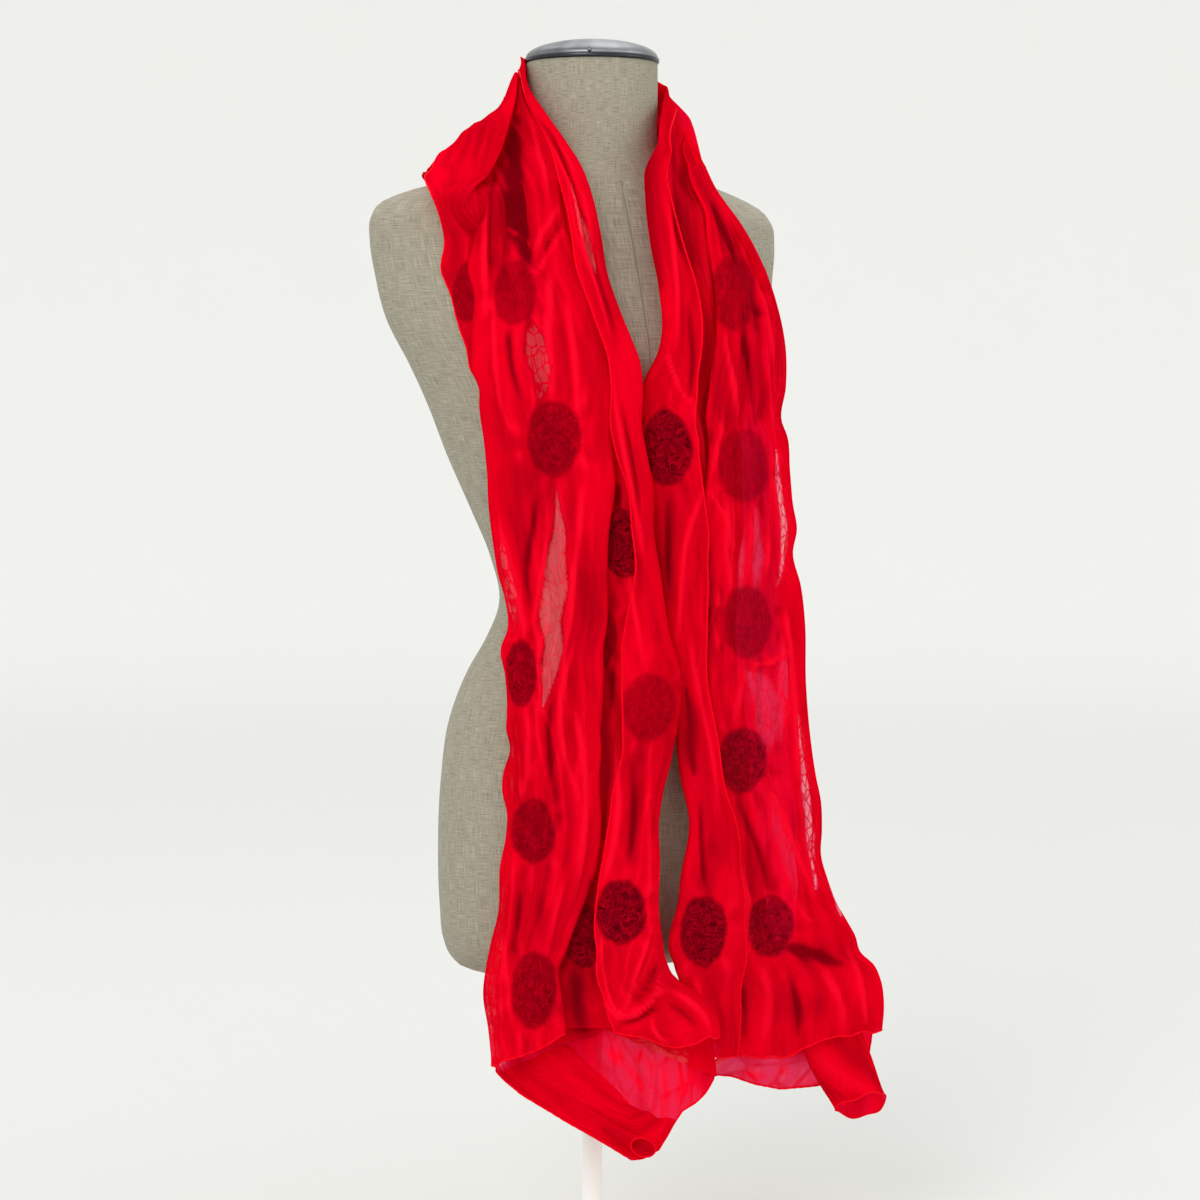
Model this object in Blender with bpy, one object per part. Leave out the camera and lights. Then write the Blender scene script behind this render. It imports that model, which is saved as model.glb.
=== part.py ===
# A felted silk scarf, hung round the neck of a limbless dress form that stands on a pole and a round base.
# Metres, +Z up. The form's front faces -Y, and its neck and the base are centred on the Z axis.
# Sizes below are in millimetres until a mesh is made.

import bmesh
import bpy
import numpy as np
from mathutils import Vector

mm = 0.001
seamGap = 0.3

# The stand
baseRadius = 140.0
baseThick = 10.0
baseEdge = 2.5
poleRadius = 9.0

# The form's neck and its metal cap
neckTop = 1066.0
capRadius = 58.5
capRimHeight = 4.0
capRise = 20.0

# The form's level sections, from the neck down: half its width, how far its front and back stand from the
# section's middle, how far forward that middle is, and how square the section is (2 is an ellipse)
formColumns = ("height", "halfWidth", "front", "back", "forward", "square")
formSections = (
    (1066, 57, 57, 57, 0, 2.0),
    (1030, 57, 57, 57, 0, 2.0),
    (1002, 58, 58, 59, -2, 2.0),
    (985, 64, 62, 64, -6, 2.0),
    (973, 88, 70, 70, -14, 2.0),
    (964, 122, 84, 72, -26, 1.9),
    (956, 152, 96, 70, -34, 1.8),
    (946, 178, 104, 68, -38, 1.8),
    (933, 189, 110, 66, -38, 1.9),
    (912, 191, 118, 68, -37, 1.9),
    (885, 187, 128, 72, -36, 1.9),
    (842, 177, 138, 80, -30, 1.9),
    (807, 161, 138, 88, -20, 1.9),
    (773, 146, 130, 94, -11, 2.0),
    (727, 130, 116, 95, -2, 2.0),
    (680, 113, 98, 86, 10, 2.0),
    (640, 100, 80, 76, 20, 2.0),
    (600, 95, 71, 71, 26, 2.0),
    (571, 106, 76, 78, 25, 2.0),
    (543, 121, 86, 88, 21, 2.0),
    (500, 134, 97, 99, 14, 2.1),
    (448, 140, 103, 105, 10, 2.1),
    (390, 142, 103, 105, 10, 2.2),
    (338, 141, 100, 101, 10, 2.2),
    (310, 138, 97, 98, 10, 2.2),
    (294, 131, 91, 92, 10, 2.2),
    (283, 118, 80, 82, 10, 2.2),
    (276, 97, 62, 66, 10, 2.2),
)
# The underside rises towards the front by this share of the way, starting from this height
formRise = 0.16
riseFrom = 420.0
formRingPoints = 36
formRingStep = 34.0

# The cloth. Its sections are laid out across the picture, which looks at the form this far round from its front
viewYaw = np.radians(25.0)
wall = 1.0
clearOfForm = 4.5
clearOfShoulder = 2.12
mostSteep = 2.8

# A section is one zigzag with seven named lines: a is the outer edge, g the inner edge, and b to f are folds.
# Each sheet between two lines lies on a level, counted outwards from the form.
lines = ("a", "b", "c", "d", "e", "f", "g")
sheets = ("ab", "bc", "cd", "de", "ef", "fg")
restLevel = {"ab": 0.0, "bc": 1.0, "cd": 4.0, "de": 3.0, "ef": 2.0, "fg": 5.0}
overLevel = {"ab": 6.0, "bc": 5.0}
sheetPoints = {"ab": 4, "bc": 3, "cd": 3, "de": 1, "ef": 2, "fg": 1}
leastTurn = 1.5
mostTurned = 0.8
tiltWidth = 18.0

# The stretch on the picture's left, top row first. inner and outer are the heights at the inner and outer edge;
# wrapIn and wrapOut are 0 at the shoulder's crest and 1 on the chest; gap is the space between levels; over is
# 1 where the outer flap lies over the front, -1 where it is tucked behind; hollow sinks the front panel by
# levels; shift is how far the inner edge stands forward of the rest, fading away from it, so that the left
# stretch passes over the right one; a to g are the lines' places across.
rowColumns = ("inner", "outer", "wrapIn", "wrapOut", "gap", "over", "hollow", "shift") + lines
shiftFade = 45.0
leftRows = (
    (1036, 961, 1.00, 0.30, 4.2, 1.00, 0.5, 0, -137, -67, -122, -60, -68, -52, -58),
    (1003, 956, 1.00, 0.55, 4.8, 1.00, 1.0, 0, -139, -75, -121, -39, -49, -29, -40),
    (974, 950, 1.00, 0.80, 5.4, 1.00, 1.4, 0, -139, -88, -112, -28, -38, -9, -30),
    (962, 943, 1.00, 0.92, 7.5, 0.50, 1.6, 0, -138, -101, -101, -27, -38, -3, -27),
    (945, 932, 1.00, 1.00, 6.0, 0.00, 2.0, 0, -134, -110, -93, -26, -37, 2, -23),
    (928, 919, 1.00, 1.00, 6.0, -0.50, 2.0, 0, -129, -96, -96, -23, -34, 6, -19),
    (907, 905, 1.00, 1.00, 6.0, -1.00, 2.4, 0, -125, -70, -100, -18, -31, 9, -16),
    (860, 860, 1.00, 1.00, 6.0, -1.00, 0.8, 0, -119, -66, -99, 0, -25, 21, -3),
    (818, 818, 1.00, 1.00, 6.0, -1.00, 0.0, 2, -105, -62, -100, 11, -28, 37, 12),
    (775, 775, 1.00, 1.00, 6.0, -1.00, 0.0, 9, -94, -58, -97, 17, -30, 44, 17),
    (732, 732, 1.00, 1.00, 6.0, -1.00, 0.0, 11, -88, -40, -91, 19, -17, 48, 22),
    (690, 690, 1.00, 1.00, 6.0, -1.00, 0.0, 11, -85, -35, -88, 19, -22, 53, 33),
    (639, 639, 1.00, 1.00, 6.0, -1.00, 0.0, 11, -78, -42, -82, 14, -25, 58, 38),
    (588, 588, 1.00, 1.00, 6.0, -1.00, 0.3, 11, -71, -47, -75, 12, -20, 65, 28),
    (537, 537, 1.00, 1.00, 6.0, -1.00, 0.0, 11, -71, -43, -75, 9, -27, 76, 25),
    (486, 486, 1.00, 1.00, 6.0, -1.00, 0.0, 9, -69, -27, -73, 8, -14, 72, 27),
    (434, 434, 1.00, 1.00, 6.0, -1.00, 0.0, 4, -71, -14, -75, 9, -10, 61, 17),
    (383, 383, 1.00, 1.00, 6.0, -1.00, 0.0, 2, -73, -2, -77, 4, -14, 58, 8),
    (340, 340, 1.00, 1.00, 6.0, -1.00, 0.0, 2, -77, 20, -80, -12, -27, 58, 3),
    (297, 297, 1.00, 1.00, 6.0, -1.00, 0.0, 4, -84, 49, -89, -26, -38, 63, 6),
    (261, 261, 1.00, 1.00, 6.0, -1.00, 0.0, 6, -88, 84, -92, -28, -42, 91, 9),
)
# Where each line ends at the hem. Each sheet's hem sags below the straight line between its two ends, most at
# the share of its width given by the peak.
leftHemAcross = {"a": -87, "b": 104, "c": -91, "d": -27, "e": -42, "f": 106, "g": 14}
leftHemHeight = {"a": 206, "b": 197, "c": 209, "d": 232, "e": 236, "f": 226, "g": 248}
leftHemSag = {"ab": 74, "bc": -40, "cd": -6, "de": 0, "ef": -6, "fg": -6}
leftHemPeak = {"ab": 0.62, "bc": 0.5, "cd": 0.5, "de": 0.5, "ef": 0.5, "fg": 0.5}

# The stretch on the picture's right, laid out the same way
rightRows = (
    (1012, 965, 1.00, 0.40, 3.6, -1.00, 0.0, 0, 100, 92, 103, 80, 88, 60, 68),
    (974, 950, 1.00, 0.80, 5.0, -1.00, 0.0, 0, 108, 101, 110, 86, 94, 50, 66),
    (945, 930, 1.00, 1.00, 5.2, -1.00, 0.3, 0, 112, 103, 116, 90, 100, 46, 66),
    (907, 903, 1.00, 1.00, 6.0, -1.00, 1.2, 0, 134, 123, 139, 97, 111, 50, 77),
    (860, 860, 1.00, 1.00, 6.0, -1.00, 0.8, -2, 155, 141, 160, 104, 122, 56, 89),
    (818, 818, 1.00, 1.00, 6.0, -1.00, 0.0, -8, 163, 150, 169, 103, 126, 55, 91),
    (775, 775, 1.00, 1.00, 6.0, -1.00, 0.0, -13, 162, 152, 168, 99, 122, 42, 89),
    (732, 732, 1.00, 1.00, 6.0, -1.00, 0.0, -14, 165, 155, 170, 96, 126, 41, 87),
    (690, 690, 1.00, 1.00, 6.0, -1.00, 0.0, -14, 168, 157, 175, 92, 128, 45, 92),
    (639, 639, 1.00, 1.00, 6.0, -1.00, 0.0, -14, 171, 160, 178, 83, 126, 51, 96),
    (588, 588, 1.00, 1.00, 6.0, -1.00, 0.0, -14, 178, 163, 185, 80, 122, 60, 96),
    (537, 537, 1.00, 1.00, 6.0, -1.00, 0.0, -14, 180, 172, 187, 81, 124, 67, 97),
    (486, 486, 1.00, 1.00, 6.0, -1.00, 0.0, -10, 184, 172, 191, 86, 128, 72, 107),
    (434, 434, 1.00, 1.00, 6.0, -1.00, 0.0, -4, 192, 176, 199, 92, 134, 79, 116),
    (383, 383, 1.00, 1.00, 6.0, -1.00, 0.0, 0, 195, 180, 202, 90, 143, 77, 127),
    (340, 340, 1.00, 1.00, 6.0, -1.00, 0.0, 0, 204, 180, 211, 84, 151, 71, 131),
    (297, 297, 1.00, 1.00, 6.0, -1.00, 0.0, -10, 225, 172, 233, 82, 160, 66, 131),
    (261, 261, 1.00, 1.00, 6.0, -1.00, 0.0, -14, 245, 146, 253, 104, 177, 88, 128),
)
rightHemAcross = {"a": 246, "b": 112, "c": 255, "d": 124, "e": 186, "f": 109, "g": 136}
rightHemHeight = {"a": 228, "b": 194, "c": 210, "d": 213, "e": 234, "f": 217, "g": 209}
rightHemSag = {"ab": 46, "bc": -46, "cd": 5, "de": 0, "ef": 0, "fg": 0}
rightHemPeak = {"ab": 0.4, "bc": 0.72, "cd": 0.6, "de": 0.5, "ef": 0.5, "fg": 0.5}
hemShift = {"left": 8.0, "right": -14.0}

# Where the cloth goes over the shoulders and behind the neck, from the left crest to the right one: its inner
# edge beside the neck and its outer edge, each as across, forward and height, how far the cloth dips between
# them, the space between levels, over as above, and the lines' shares of the way from the inner to the outer edge.
crestColumns = ("inX", "inY", "inZ", "outX", "outY", "outZ", "dip", "gap", "over") + lines
crests = (
    (-62, -3, 1056, -133, 26, 957, 20, 3.2, 1.00, 1.0, 0.10, 0.88, 0.07, 0.16, 0.0, 0.08),
    (-57, -29, 1058, -117, -66, 950, 18, 3.2, 0.90, 1.0, 0.24, 0.78, 0.08, 0.18, 0.0, 0.10),
    (-36, -54, 1060, -72, -118, 932, 14, 5.0, 0.50, 1.0, 0.62, 0.62, 0.09, 0.20, 0.0, 0.12),
    (0, -66, 1058, 8, -134, 918, 12, 3.4, 0.00, 1.0, 0.74, 0.56, 0.12, 0.24, 0.0, 0.14),
    (36, -55, 1053, 70, -128, 948, 10, 3.2, -0.50, 1.0, 0.78, 0.78, 0.24, 0.38, 0.0, 0.16),
    (57, -30, 1046, 97, -94, 962, 8, 3.2, -0.90, 1.0, 0.76, 0.94, 0.38, 0.54, 0.0, 0.20),
    (61, -5, 1038, 95, -56, 974, 4, 3.4, -1.00, 1.0, 0.80, 1.04, 0.50, 0.66, 0.0, 0.22),
)

# Rows of the mesh for each row of a table: more above this height
fineRows = 2
fineAbove = 890.0

# The felt dots: the stretch and sheet each lies on, its place across and up, and half its width and height
feltThick = 1.0
feltCorners = 14
dotColumns = ("stretch", "sheet", "across", "height", "halfWidth", "halfHeight")
dots = (
    ("left", "cd", -31, 741, 23, 33),
    ("left", "cd", -64, 868, 21, 29),
    ("left", "ab", -104, 862, 15, 28),
    ("left", "bc", -58, 668, 15, 30),
    ("left", "ef", 26, 653, 22, 31),
    ("left", "ab", -60, 549, 9, 26),
    ("left", "ef", 4, 574, 20, 30),
    ("left", "fg", 52, 516, 20, 31),
    ("left", "cd", -50, 409, 21, 33),
    ("left", "fg", 28, 340, 21, 30),
    ("left", "ef", -6, 318, 18, 32),
    ("left", "cd", -56, 270, 21, 33),
    ("right", "fg", 68, 734, 18, 33),
    ("right", "cd", 130, 720, 24, 33),
    ("right", "cd", 124, 868, 20, 33),
    ("right", "cd", 131, 584, 25, 33),
    ("right", "de", 98, 605, 14, 28),
    ("right", "cd", 129, 469, 24, 31),
    ("right", "fg", 102, 323, 20, 33),
    ("right", "cd", 148, 328, 24, 30),
    ("right", "ab", 198, 310, 19, 28),
)

# The left stretch's hem is turned up over its back sheet: the shares of that sheet it starts and ends at, how
# far up it starts, and the height of its top edge at rising shares
turnShares = (0.05, 0.80)
turnStart = 2.0
turnShareKeys = (0.0, 0.2, 0.4, 0.6, 0.8, 1.0)
turnHeights = (16.0, 44.0, 63.0, 58.0, 5.0, 3.0)

# The right stretch's outer corner is curled into a tube: its two ends as across and height, the half width and
# half depth at each, and how much lower its back edge hangs than its front edge
curlTop = (209.0, 224.0)
curlMouth = (242.0, 140.0)
curlHalfWidth = (29.0, 27.0)
curlHalfDepth = (7.0, 12.0)
curlDrop = 14.0
curlRows = 6
curlPoints = 20

colours = {
    "linen": ((0.43, 0.40, 0.31), 0.9, 0.0),
    "metal": ((0.16, 0.17, 0.18), 0.32, 1.0),
    "stand": ((0.80, 0.80, 0.77), 0.45, 0.0),
    "silk": ((0.80, 0.005, 0.012), 0.55, 0.0),
    "felt": ((0.20, 0.0, 0.008), 0.95, 0.0),
}


def table(columns, rows):
    """A dictionary with one array for each named column."""
    return {name: np.array([row[i] for row in rows]) for i, name in enumerate(columns)}


def through(keys, values, at):
    """A smooth curve through values at rising keys, read at the places in at: cubic steps whose slopes are the
    mean of the two steps beside each key."""
    keys = np.asarray(keys, float)
    values = np.asarray(values, float)
    flat = values.reshape(len(keys), -1)
    step = np.diff(keys)[:, None]
    slope = np.diff(flat, axis=0) / step
    tangent = np.vstack([slope[:1], (slope[1:] * step[:-1] + slope[:-1] * step[1:]) / (step[1:] + step[:-1]), slope[-1:]])
    at = np.asarray(at, float)
    i = np.clip(np.searchsorted(keys, at, side="right") - 1, 0, len(keys) - 2)
    t = ((at - keys[i]) / (keys[i + 1] - keys[i]))[:, None]
    width = step[i]
    found = (
        (2 * t**3 - 3 * t**2 + 1) * flat[i]
        + (t**3 - 2 * t**2 + t) * width * tangent[i]
        + (3 * t**2 - 2 * t**3) * flat[i + 1]
        + (t**3 - t**2) * width * tangent[i + 1]
    )
    return found.reshape((len(at),) + values.shape[1:])


def toWorld(points):
    """Millimetres as across, forward and height in the picture, turned to the form's own x, y and z."""
    across, forward, height = points[..., 0], points[..., 1], points[..., 2]
    x = across * np.cos(viewYaw) - forward * np.sin(viewYaw)
    y = -across * np.sin(viewYaw) - forward * np.cos(viewYaw)
    return np.stack([x, y, height], axis=-1)


def toView(points):
    """The opposite of toWorld."""
    x, y, height = points[..., 0], points[..., 1], points[..., 2]
    across = x * np.cos(viewYaw) - y * np.sin(viewYaw)
    forward = -x * np.sin(viewYaw) - y * np.cos(viewYaw)
    return np.stack([across, forward, height], axis=-1)


def formRings(heights, count):
    """Points round the form at each height, from x = halfWidth through the back."""
    form = table(formColumns, formSections)
    keys = -form["height"]
    size = {name: through(keys, form[name], -np.asarray(heights, float)) for name in formColumns[1:]}
    turn = np.arange(count) * 2 * np.pi / count
    power = 2 / size["square"][:, None]
    c = np.sign(np.cos(turn)) * np.abs(np.cos(turn)) ** power
    s = np.sign(np.sin(turn)) * np.abs(np.sin(turn)) ** power
    x = size["halfWidth"][:, None] * c
    y = np.where(s > 0, size["back"][:, None], size["front"][:, None]) * s - size["forward"][:, None]
    z = np.broadcast_to(np.asarray(heights, float)[:, None], x.shape)
    return np.stack([x, y, z], axis=-1)


def reachTable():
    """How far forward the cloth lies for each height and place across: the form's front there, or further up
    where it stands further forward, because the cloth hangs straight down from it."""
    heights = np.arange(1064.0, 196.0, -6.0)
    across = np.arange(-220.0, 272.0, 4.0)
    shoulder, edge, fall = 930.0, 12.0, 0.8
    reach = np.full((len(heights), len(across)), np.nan)
    rings = toView(formRings(np.maximum(heights, formSections[-1][0]), 120))
    for row, ring in zip(reach, rings):
        order = np.roll(ring, -int(np.argmin(ring[:, 0])), axis=0)
        end = int(np.argmax(order[:, 0]))
        one, two = order[: end + 1], np.vstack([order[end:], order[:1]])[::-1]
        front = one if one[:, 1].mean() > two[:, 1].mean() else two
        low, high = front[0, 0] + edge, front[-1, 0] - edge
        held = np.clip(across, low, high)
        row[:] = np.interp(held, front[:, 0], front[:, 1]) - fall * np.abs(across - held)
        if ring[0, 2] > shoulder:
            row[(across < low - edge) | (across > high + edge)] = np.nan
    for i in range(len(heights) - 2, -1, -1):
        empty = np.isnan(reach[i])
        reach[i, empty] = reach[i + 1, empty]
    return heights, across, np.maximum.accumulate(reach, axis=0)


def smoothed(values, passes):
    """A table evened out with its neighbours, passes times over."""
    for _ in range(passes):
        wide = np.pad(values, 1, mode="edge")
        values = (wide[:-2, 1:-1] + wide[2:, 1:-1] + wide[1:-1, :-2] + wide[1:-1, 2:] + 4 * values) / 8
    return values


def steepness(forward):
    """How much further apart, measured forward, sheets must be to keep their distance where the cloth slopes."""
    down, along = np.gradient(forward, 6.0, 4.0)
    return smoothed(np.minimum(np.sqrt(1 + down**2 + along**2), mostSteep), 14)


reachHeights, reachAcross, reachForward = reachTable()
reachForward = smoothed(reachForward, 3)
reachSteep = steepness(reachForward)


def readTable(values, across, height):
    """Reads a table of the cloth's reach between its steps."""
    r = np.clip((reachHeights[0] - height) / 6.0, 0, len(reachHeights) - 1.001)
    c = np.clip((across - reachAcross[0]) / 4.0, 0, len(reachAcross) - 1.001)
    i, j = r.astype(int), c.astype(int)
    fr, fc = r - i, c - j
    upper = values[i, j] * (1 - fc) + values[i, j + 1] * fc
    lower = values[i + 1, j] * (1 - fc) + values[i + 1, j + 1] * fc
    return upper * (1 - fr) + lower * fr


def reachAt(across, height, away):
    """How far forward the cloth lies, a distance away from the form."""
    return readTable(reachForward, across, height) + away * readTable(reachSteep, across, height)


def shoulderAt(x, y):
    """The height of the form's shoulders straight under or over each plan point, and well below them outside."""
    heights = np.arange(1064.0, 880.0, -2.0)
    form = table(formColumns, formSections)
    size = {name: through(-form["height"], form[name], -heights)[:, None] for name in formColumns[1:]}
    depth = y[None, :] + size["forward"]
    half = np.where(depth > 0, size["back"], size["front"])
    power = size["square"]
    spread = (np.abs(x[None, :]) / size["halfWidth"]) ** power + (np.abs(depth) / half) ** power
    inside = spread <= 1
    first = np.where(inside.any(axis=0), inside.argmax(axis=0), len(heights) - 1)
    before = np.maximum(first - 1, 0)
    column = np.arange(len(x))
    low, high = spread[first, column], spread[before, column]
    way = np.clip((high - 1) / np.maximum(high - low, 1e-6), 0, 1)
    found = heights[before] + (heights[first] - heights[before]) * way
    return np.where(inside.any(axis=0), found, 0.0)


def overShoulder(section, up, gap):
    """Lifts a section's points where they would be too near the form's shoulders."""
    plan = toWorld(section)
    least = shoulderAt(plan[:, 0], plan[:, 1]) + clearOfShoulder + np.maximum(up, 0) * gap
    section[:, 2] = np.maximum(section[:, 2], least)
    return section


def zigzag(place, level, gap):
    """One section's points: each line is an end or a round turn between two sheets' levels, and each sheet has
    sheetPoints between its turns. Gives the places, the levels, and the points' shares of their sheets. Where the
    flap's lines b and c come close, the sheet between them tilts until it stands upright."""
    across, up, sheetOf, share = [], [], [], []
    tilt = max(0.0, 1 - abs(place[2] - place[1]) / tiltWidth)
    for k, name in enumerate(sheets):
        start, end = place[k], place[k + 1]
        turns = turnSize(level, k, gap) if k else 0.0, turnSize(level, k + 1, gap) if k < len(sheets) - 1 else 0.0
        length = max(abs(end - start), 1e-6)
        scale = min(1.0, mostTurned * length / max(sum(turns), 1e-6)) / length
        inner = np.linspace(turns[0] * scale, 1 - turns[1] * scale, sheetPoints[name] + 2)
        across.extend(start + (end - start) * inner)
        tilted = level[0] + (level[2] - level[0]) * inner if name == "bc" else level[k]
        up.extend(level[k] * (1 - tilt) + tilted * tilt + 0 * inner)
        sheetOf.extend([k] * len(inner))
        share.extend(inner)
        if k < len(sheets) - 1:
            across.append(end)
            middle = (level[k] + level[k + 1]) / 2
            if k < 2:
                middle = middle * (1 - tilt) + level[2 * k] * tilt
            up.append(middle)
            sheetOf.append(k)
            share.append(1.0)
    return np.array(across), np.array(up), np.array(sheetOf), np.array(share)


def turnSize(level, k, gap):
    """How far a turn at line k reaches into its sheets: half the space between their levels."""
    return max(leastTurn, abs(level[k] - level[k - 1]) * gap / 2)


def levelsFor(over):
    """The sheets' levels in one row. over moves the outer flap from behind the front panel to in front."""
    level = [restLevel[name] for name in sheets]
    for k, name in enumerate(("ab", "bc")):
        away = overLevel[name] - restLevel["cd"] if over > 0 else restLevel["cd"] - restLevel[name]
        level[k] = restLevel["cd"] + over * away
    return level


def crestSections():
    """The sections over the shoulders and round the back of the neck."""
    found = []
    for row in crests:
        r = dict(zip(crestColumns, row))
        inner = np.array([r["inX"], r["inY"], r["inZ"]], float)
        outer = np.array([r["outX"], r["outY"], r["outZ"]], float)
        length = np.linalg.norm(outer - inner)
        along = (outer - inner) / length
        lift = np.array([0.0, 0.0, 1.0]) - along[2] * along
        lift /= np.linalg.norm(lift)
        place = [r[name] * length for name in lines]
        across, up, _, _ = zigzag(place, levelsFor(r["over"]), r["gap"])
        dip = r["dip"] * np.sin(np.pi * np.clip(across / length, 0, 1) ** 0.6)
        section = inner + across[:, None] * along + (up * r["gap"] - dip)[:, None] * lift
        found.append(overShoulder(section, up, r["gap"]))
    return found


def shiftAt(across, place, shift):
    """How far forward a half's inner part is moved at each place across."""
    away = np.minimum(np.abs(across - place[lines.index("f")]), shiftFade) / shiftFade
    return shift * (1 + np.cos(np.pi * away)) / 2


def frontSections(rows, crest, hemAcross, hemHeight, hemSag, hemPeak, hemForward):
    """The sections down the front of one stretch, top first, and its hem."""
    found = []
    for row in rows:
        r = dict(zip(rowColumns, row))
        place = [r[name] for name in lines]
        across, up, sheetOf, share = zigzag(place, levelsFor(r["over"]), r["gap"])
        inwards = np.clip((across - r["a"]) / (r["f"] - r["a"]), 0, 1)
        height = r["outer"] + (r["inner"] - r["outer"]) * inwards
        wrap = r["wrapOut"] + (r["wrapIn"] - r["wrapOut"]) * inwards
        panel = sheetOf == sheets.index("cd")
        free = (r["e"] - r["c"]) / (r["d"] - r["c"])
        up = up - np.where(panel, r["hollow"] * np.sin(np.pi * np.clip(share / free / 0.85, 0, 1)) ** 2, 0)
        chest = reachAt(across, height, clearOfForm + up * r["gap"])
        forward = chest * wrap + crest[:, 1] * (1 - wrap) + shiftAt(across, place, r["shift"])
        height = height + (1 - wrap) * up * r["gap"]
        section = np.stack([across, forward, height], axis=1)
        if r["wrapOut"] < 1:
            section = overShoulder(section, up, r["gap"])
        found.append(section)
    gap = rows[-1][rowColumns.index("gap")]
    place = [hemAcross[name] for name in lines]
    across, up, sheetOf, share = zigzag(place, levelsFor(-1.0), gap)
    ends = np.array([hemHeight[name] for name in lines], float)
    sag = np.array([hemSag[name] for name in sheets], float)
    peak = np.array([hemPeak[name] for name in sheets])[sheetOf]
    t = np.clip(share, 0, 1)
    bulge = np.minimum(t / peak, (1 - t) / (1 - peak))
    height = ends[sheetOf] * (1 - t) + ends[sheetOf + 1] * t - sag[sheetOf] * bulge
    forward = reachAt(across, height, clearOfForm + up * gap) + shiftAt(across, place, hemForward)
    found.append(np.stack([across, forward, height], axis=1))
    return found


def scarfGrid():
    """The whole scarf as rows of points, from the left hem over the neck to the right hem, and the first and
    last row of each stretch."""
    crest = crestSections()
    left = frontSections(leftRows, crest[0], leftHemAcross, leftHemHeight, leftHemSag, leftHemPeak, hemShift["left"])
    right = frontSections(
        rightRows, crest[-1], rightHemAcross, rightHemHeight, rightHemSag, rightHemPeak, hemShift["right"]
    )
    rows = np.array(left[::-1] + crest + right)
    fine = rows[1:, :, 2].max(axis=1) > fineAbove
    fine[[0, -1]] = True
    at = [0.0]
    for i, split in enumerate(fine):
        count = fineRows if split else 1
        at.extend(i + (j + 1) / count for j in range(count))
    grid = through(np.arange(len(rows)), rows, at)
    leftTop, rightTop = at.index(len(left)), at.index(len(left) + len(crest) - 1)
    return grid, {"left": (0, leftTop), "neck": (leftTop, rightTop), "right": (rightTop, len(grid) - 1)}


def normalsOf(grid):
    """Unit normals of a grid of points. At a fold each halves the angle between the steps on its two sides."""
    normal = np.cross(bisector(grid, 0), bisector(grid, 1))
    return normal / np.maximum(np.linalg.norm(normal, axis=-1, keepdims=True), 1e-9)


def bisector(grid, axis):
    """The direction of the grid along one axis: the mean of the unit steps before and after each point."""
    step = np.moveaxis(np.diff(grid, axis=axis), axis, 0)
    step = step / np.maximum(np.linalg.norm(step, axis=-1, keepdims=True), 1e-9)
    mean = np.concatenate([step[:1], step[1:] + step[:-1], step[-1:]])
    return np.moveaxis(mean, 0, axis)


def addMesh(name, points, faces, colour, smooth=True):
    """A named object from points in the form's own millimetres, with its faces turned outwards."""
    mesh = bpy.data.meshes.new(name)
    mesh.from_pydata([Vector(p) * mm for p in points], [], [tuple(int(i) for i in f) for f in faces])
    shape = bmesh.new()
    shape.from_mesh(mesh)
    bmesh.ops.recalc_face_normals(shape, faces=shape.faces)
    if shape.calc_volume(signed=True) < 0:
        bmesh.ops.reverse_faces(shape, faces=shape.faces)
    shape.to_mesh(mesh)
    shape.free()
    if smooth:
        mesh.shade_smooth()
        mesh.set_sharp_from_angle(angle=np.radians(50))
    mesh.materials.append(materialFor(colour))
    thing = bpy.data.objects.new(name, mesh)
    bpy.context.scene.collection.objects.link(thing)
    return thing


def materialFor(name):
    """The Principled material of one colour, made once."""
    if name in bpy.data.materials:
        return bpy.data.materials[name]
    colour, roughness, metallic = colours[name]
    material = bpy.data.materials.new(name)
    material.use_nodes = True
    shader = material.node_tree.nodes["Principled BSDF"]
    shader.inputs["Base Color"].default_value = (*colour, 1.0)
    shader.inputs["Roughness"].default_value = roughness
    shader.inputs["Metallic"].default_value = metallic
    return material


def wallFaces(rows, columns):
    """Faces of a closed wall whose outer grid comes first and whose inner grid follows."""
    size = rows * columns
    index = np.arange(size).reshape(rows, columns)
    a, b, c, d = index[:-1, :-1].ravel(), index[:-1, 1:].ravel(), index[1:, 1:].ravel(), index[1:, :-1].ravel()
    outer = np.vstack([np.stack([a, b, c], axis=1), np.stack([a, c, d], axis=1)])
    faces = [outer, outer[:, ::-1] + size]
    for line, turned in ((index[0], False), (index[-1], True), (index[:, 0], True), (index[:, -1], False)):
        low, high = line[:-1], line[1:]
        edge = np.vstack([np.stack([high, low, high + size], axis=1), np.stack([low, low + size, high + size], axis=1)])
        faces.append(edge[:, ::-1] if turned else edge)
    return np.vstack(faces)


def addWall(name, grid, normal, colour, thick):
    """A closed wall of even thickness on both sides of a grid in the picture's millimetres."""
    outer, inner = grid + normal * thick / 2, grid - normal * thick / 2
    points = toWorld(np.vstack([outer.reshape(-1, 3), inner.reshape(-1, 3)]))
    return addMesh(name, points, wallFaces(*grid.shape[:2]), colour)


def addTurned(name, profile, colour, segments=48):
    """A round solid from a profile of (radius, height), which starts and ends on the axis."""
    ring = np.arange(segments) * 2 * np.pi / segments
    points = [(0.0, 0.0, profile[0][1])]
    for radius, height in profile[1:-1]:
        points.extend((radius * np.cos(t), radius * np.sin(t), height) for t in ring)
    points.append((0.0, 0.0, profile[-1][1]))
    last = len(points) - 1
    faces = []
    for j in range(segments):
        k = (j + 1) % segments
        faces.append((0, 1 + k, 1 + j))
        for i in range(len(profile) - 3):
            low = 1 + i * segments
            faces.append((low + j, low + k, low + segments + k, low + segments + j))
        top = 1 + (len(profile) - 3) * segments
        faces.append((top + j, top + k, last))
    return addMesh(name, points, faces, colour)


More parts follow.
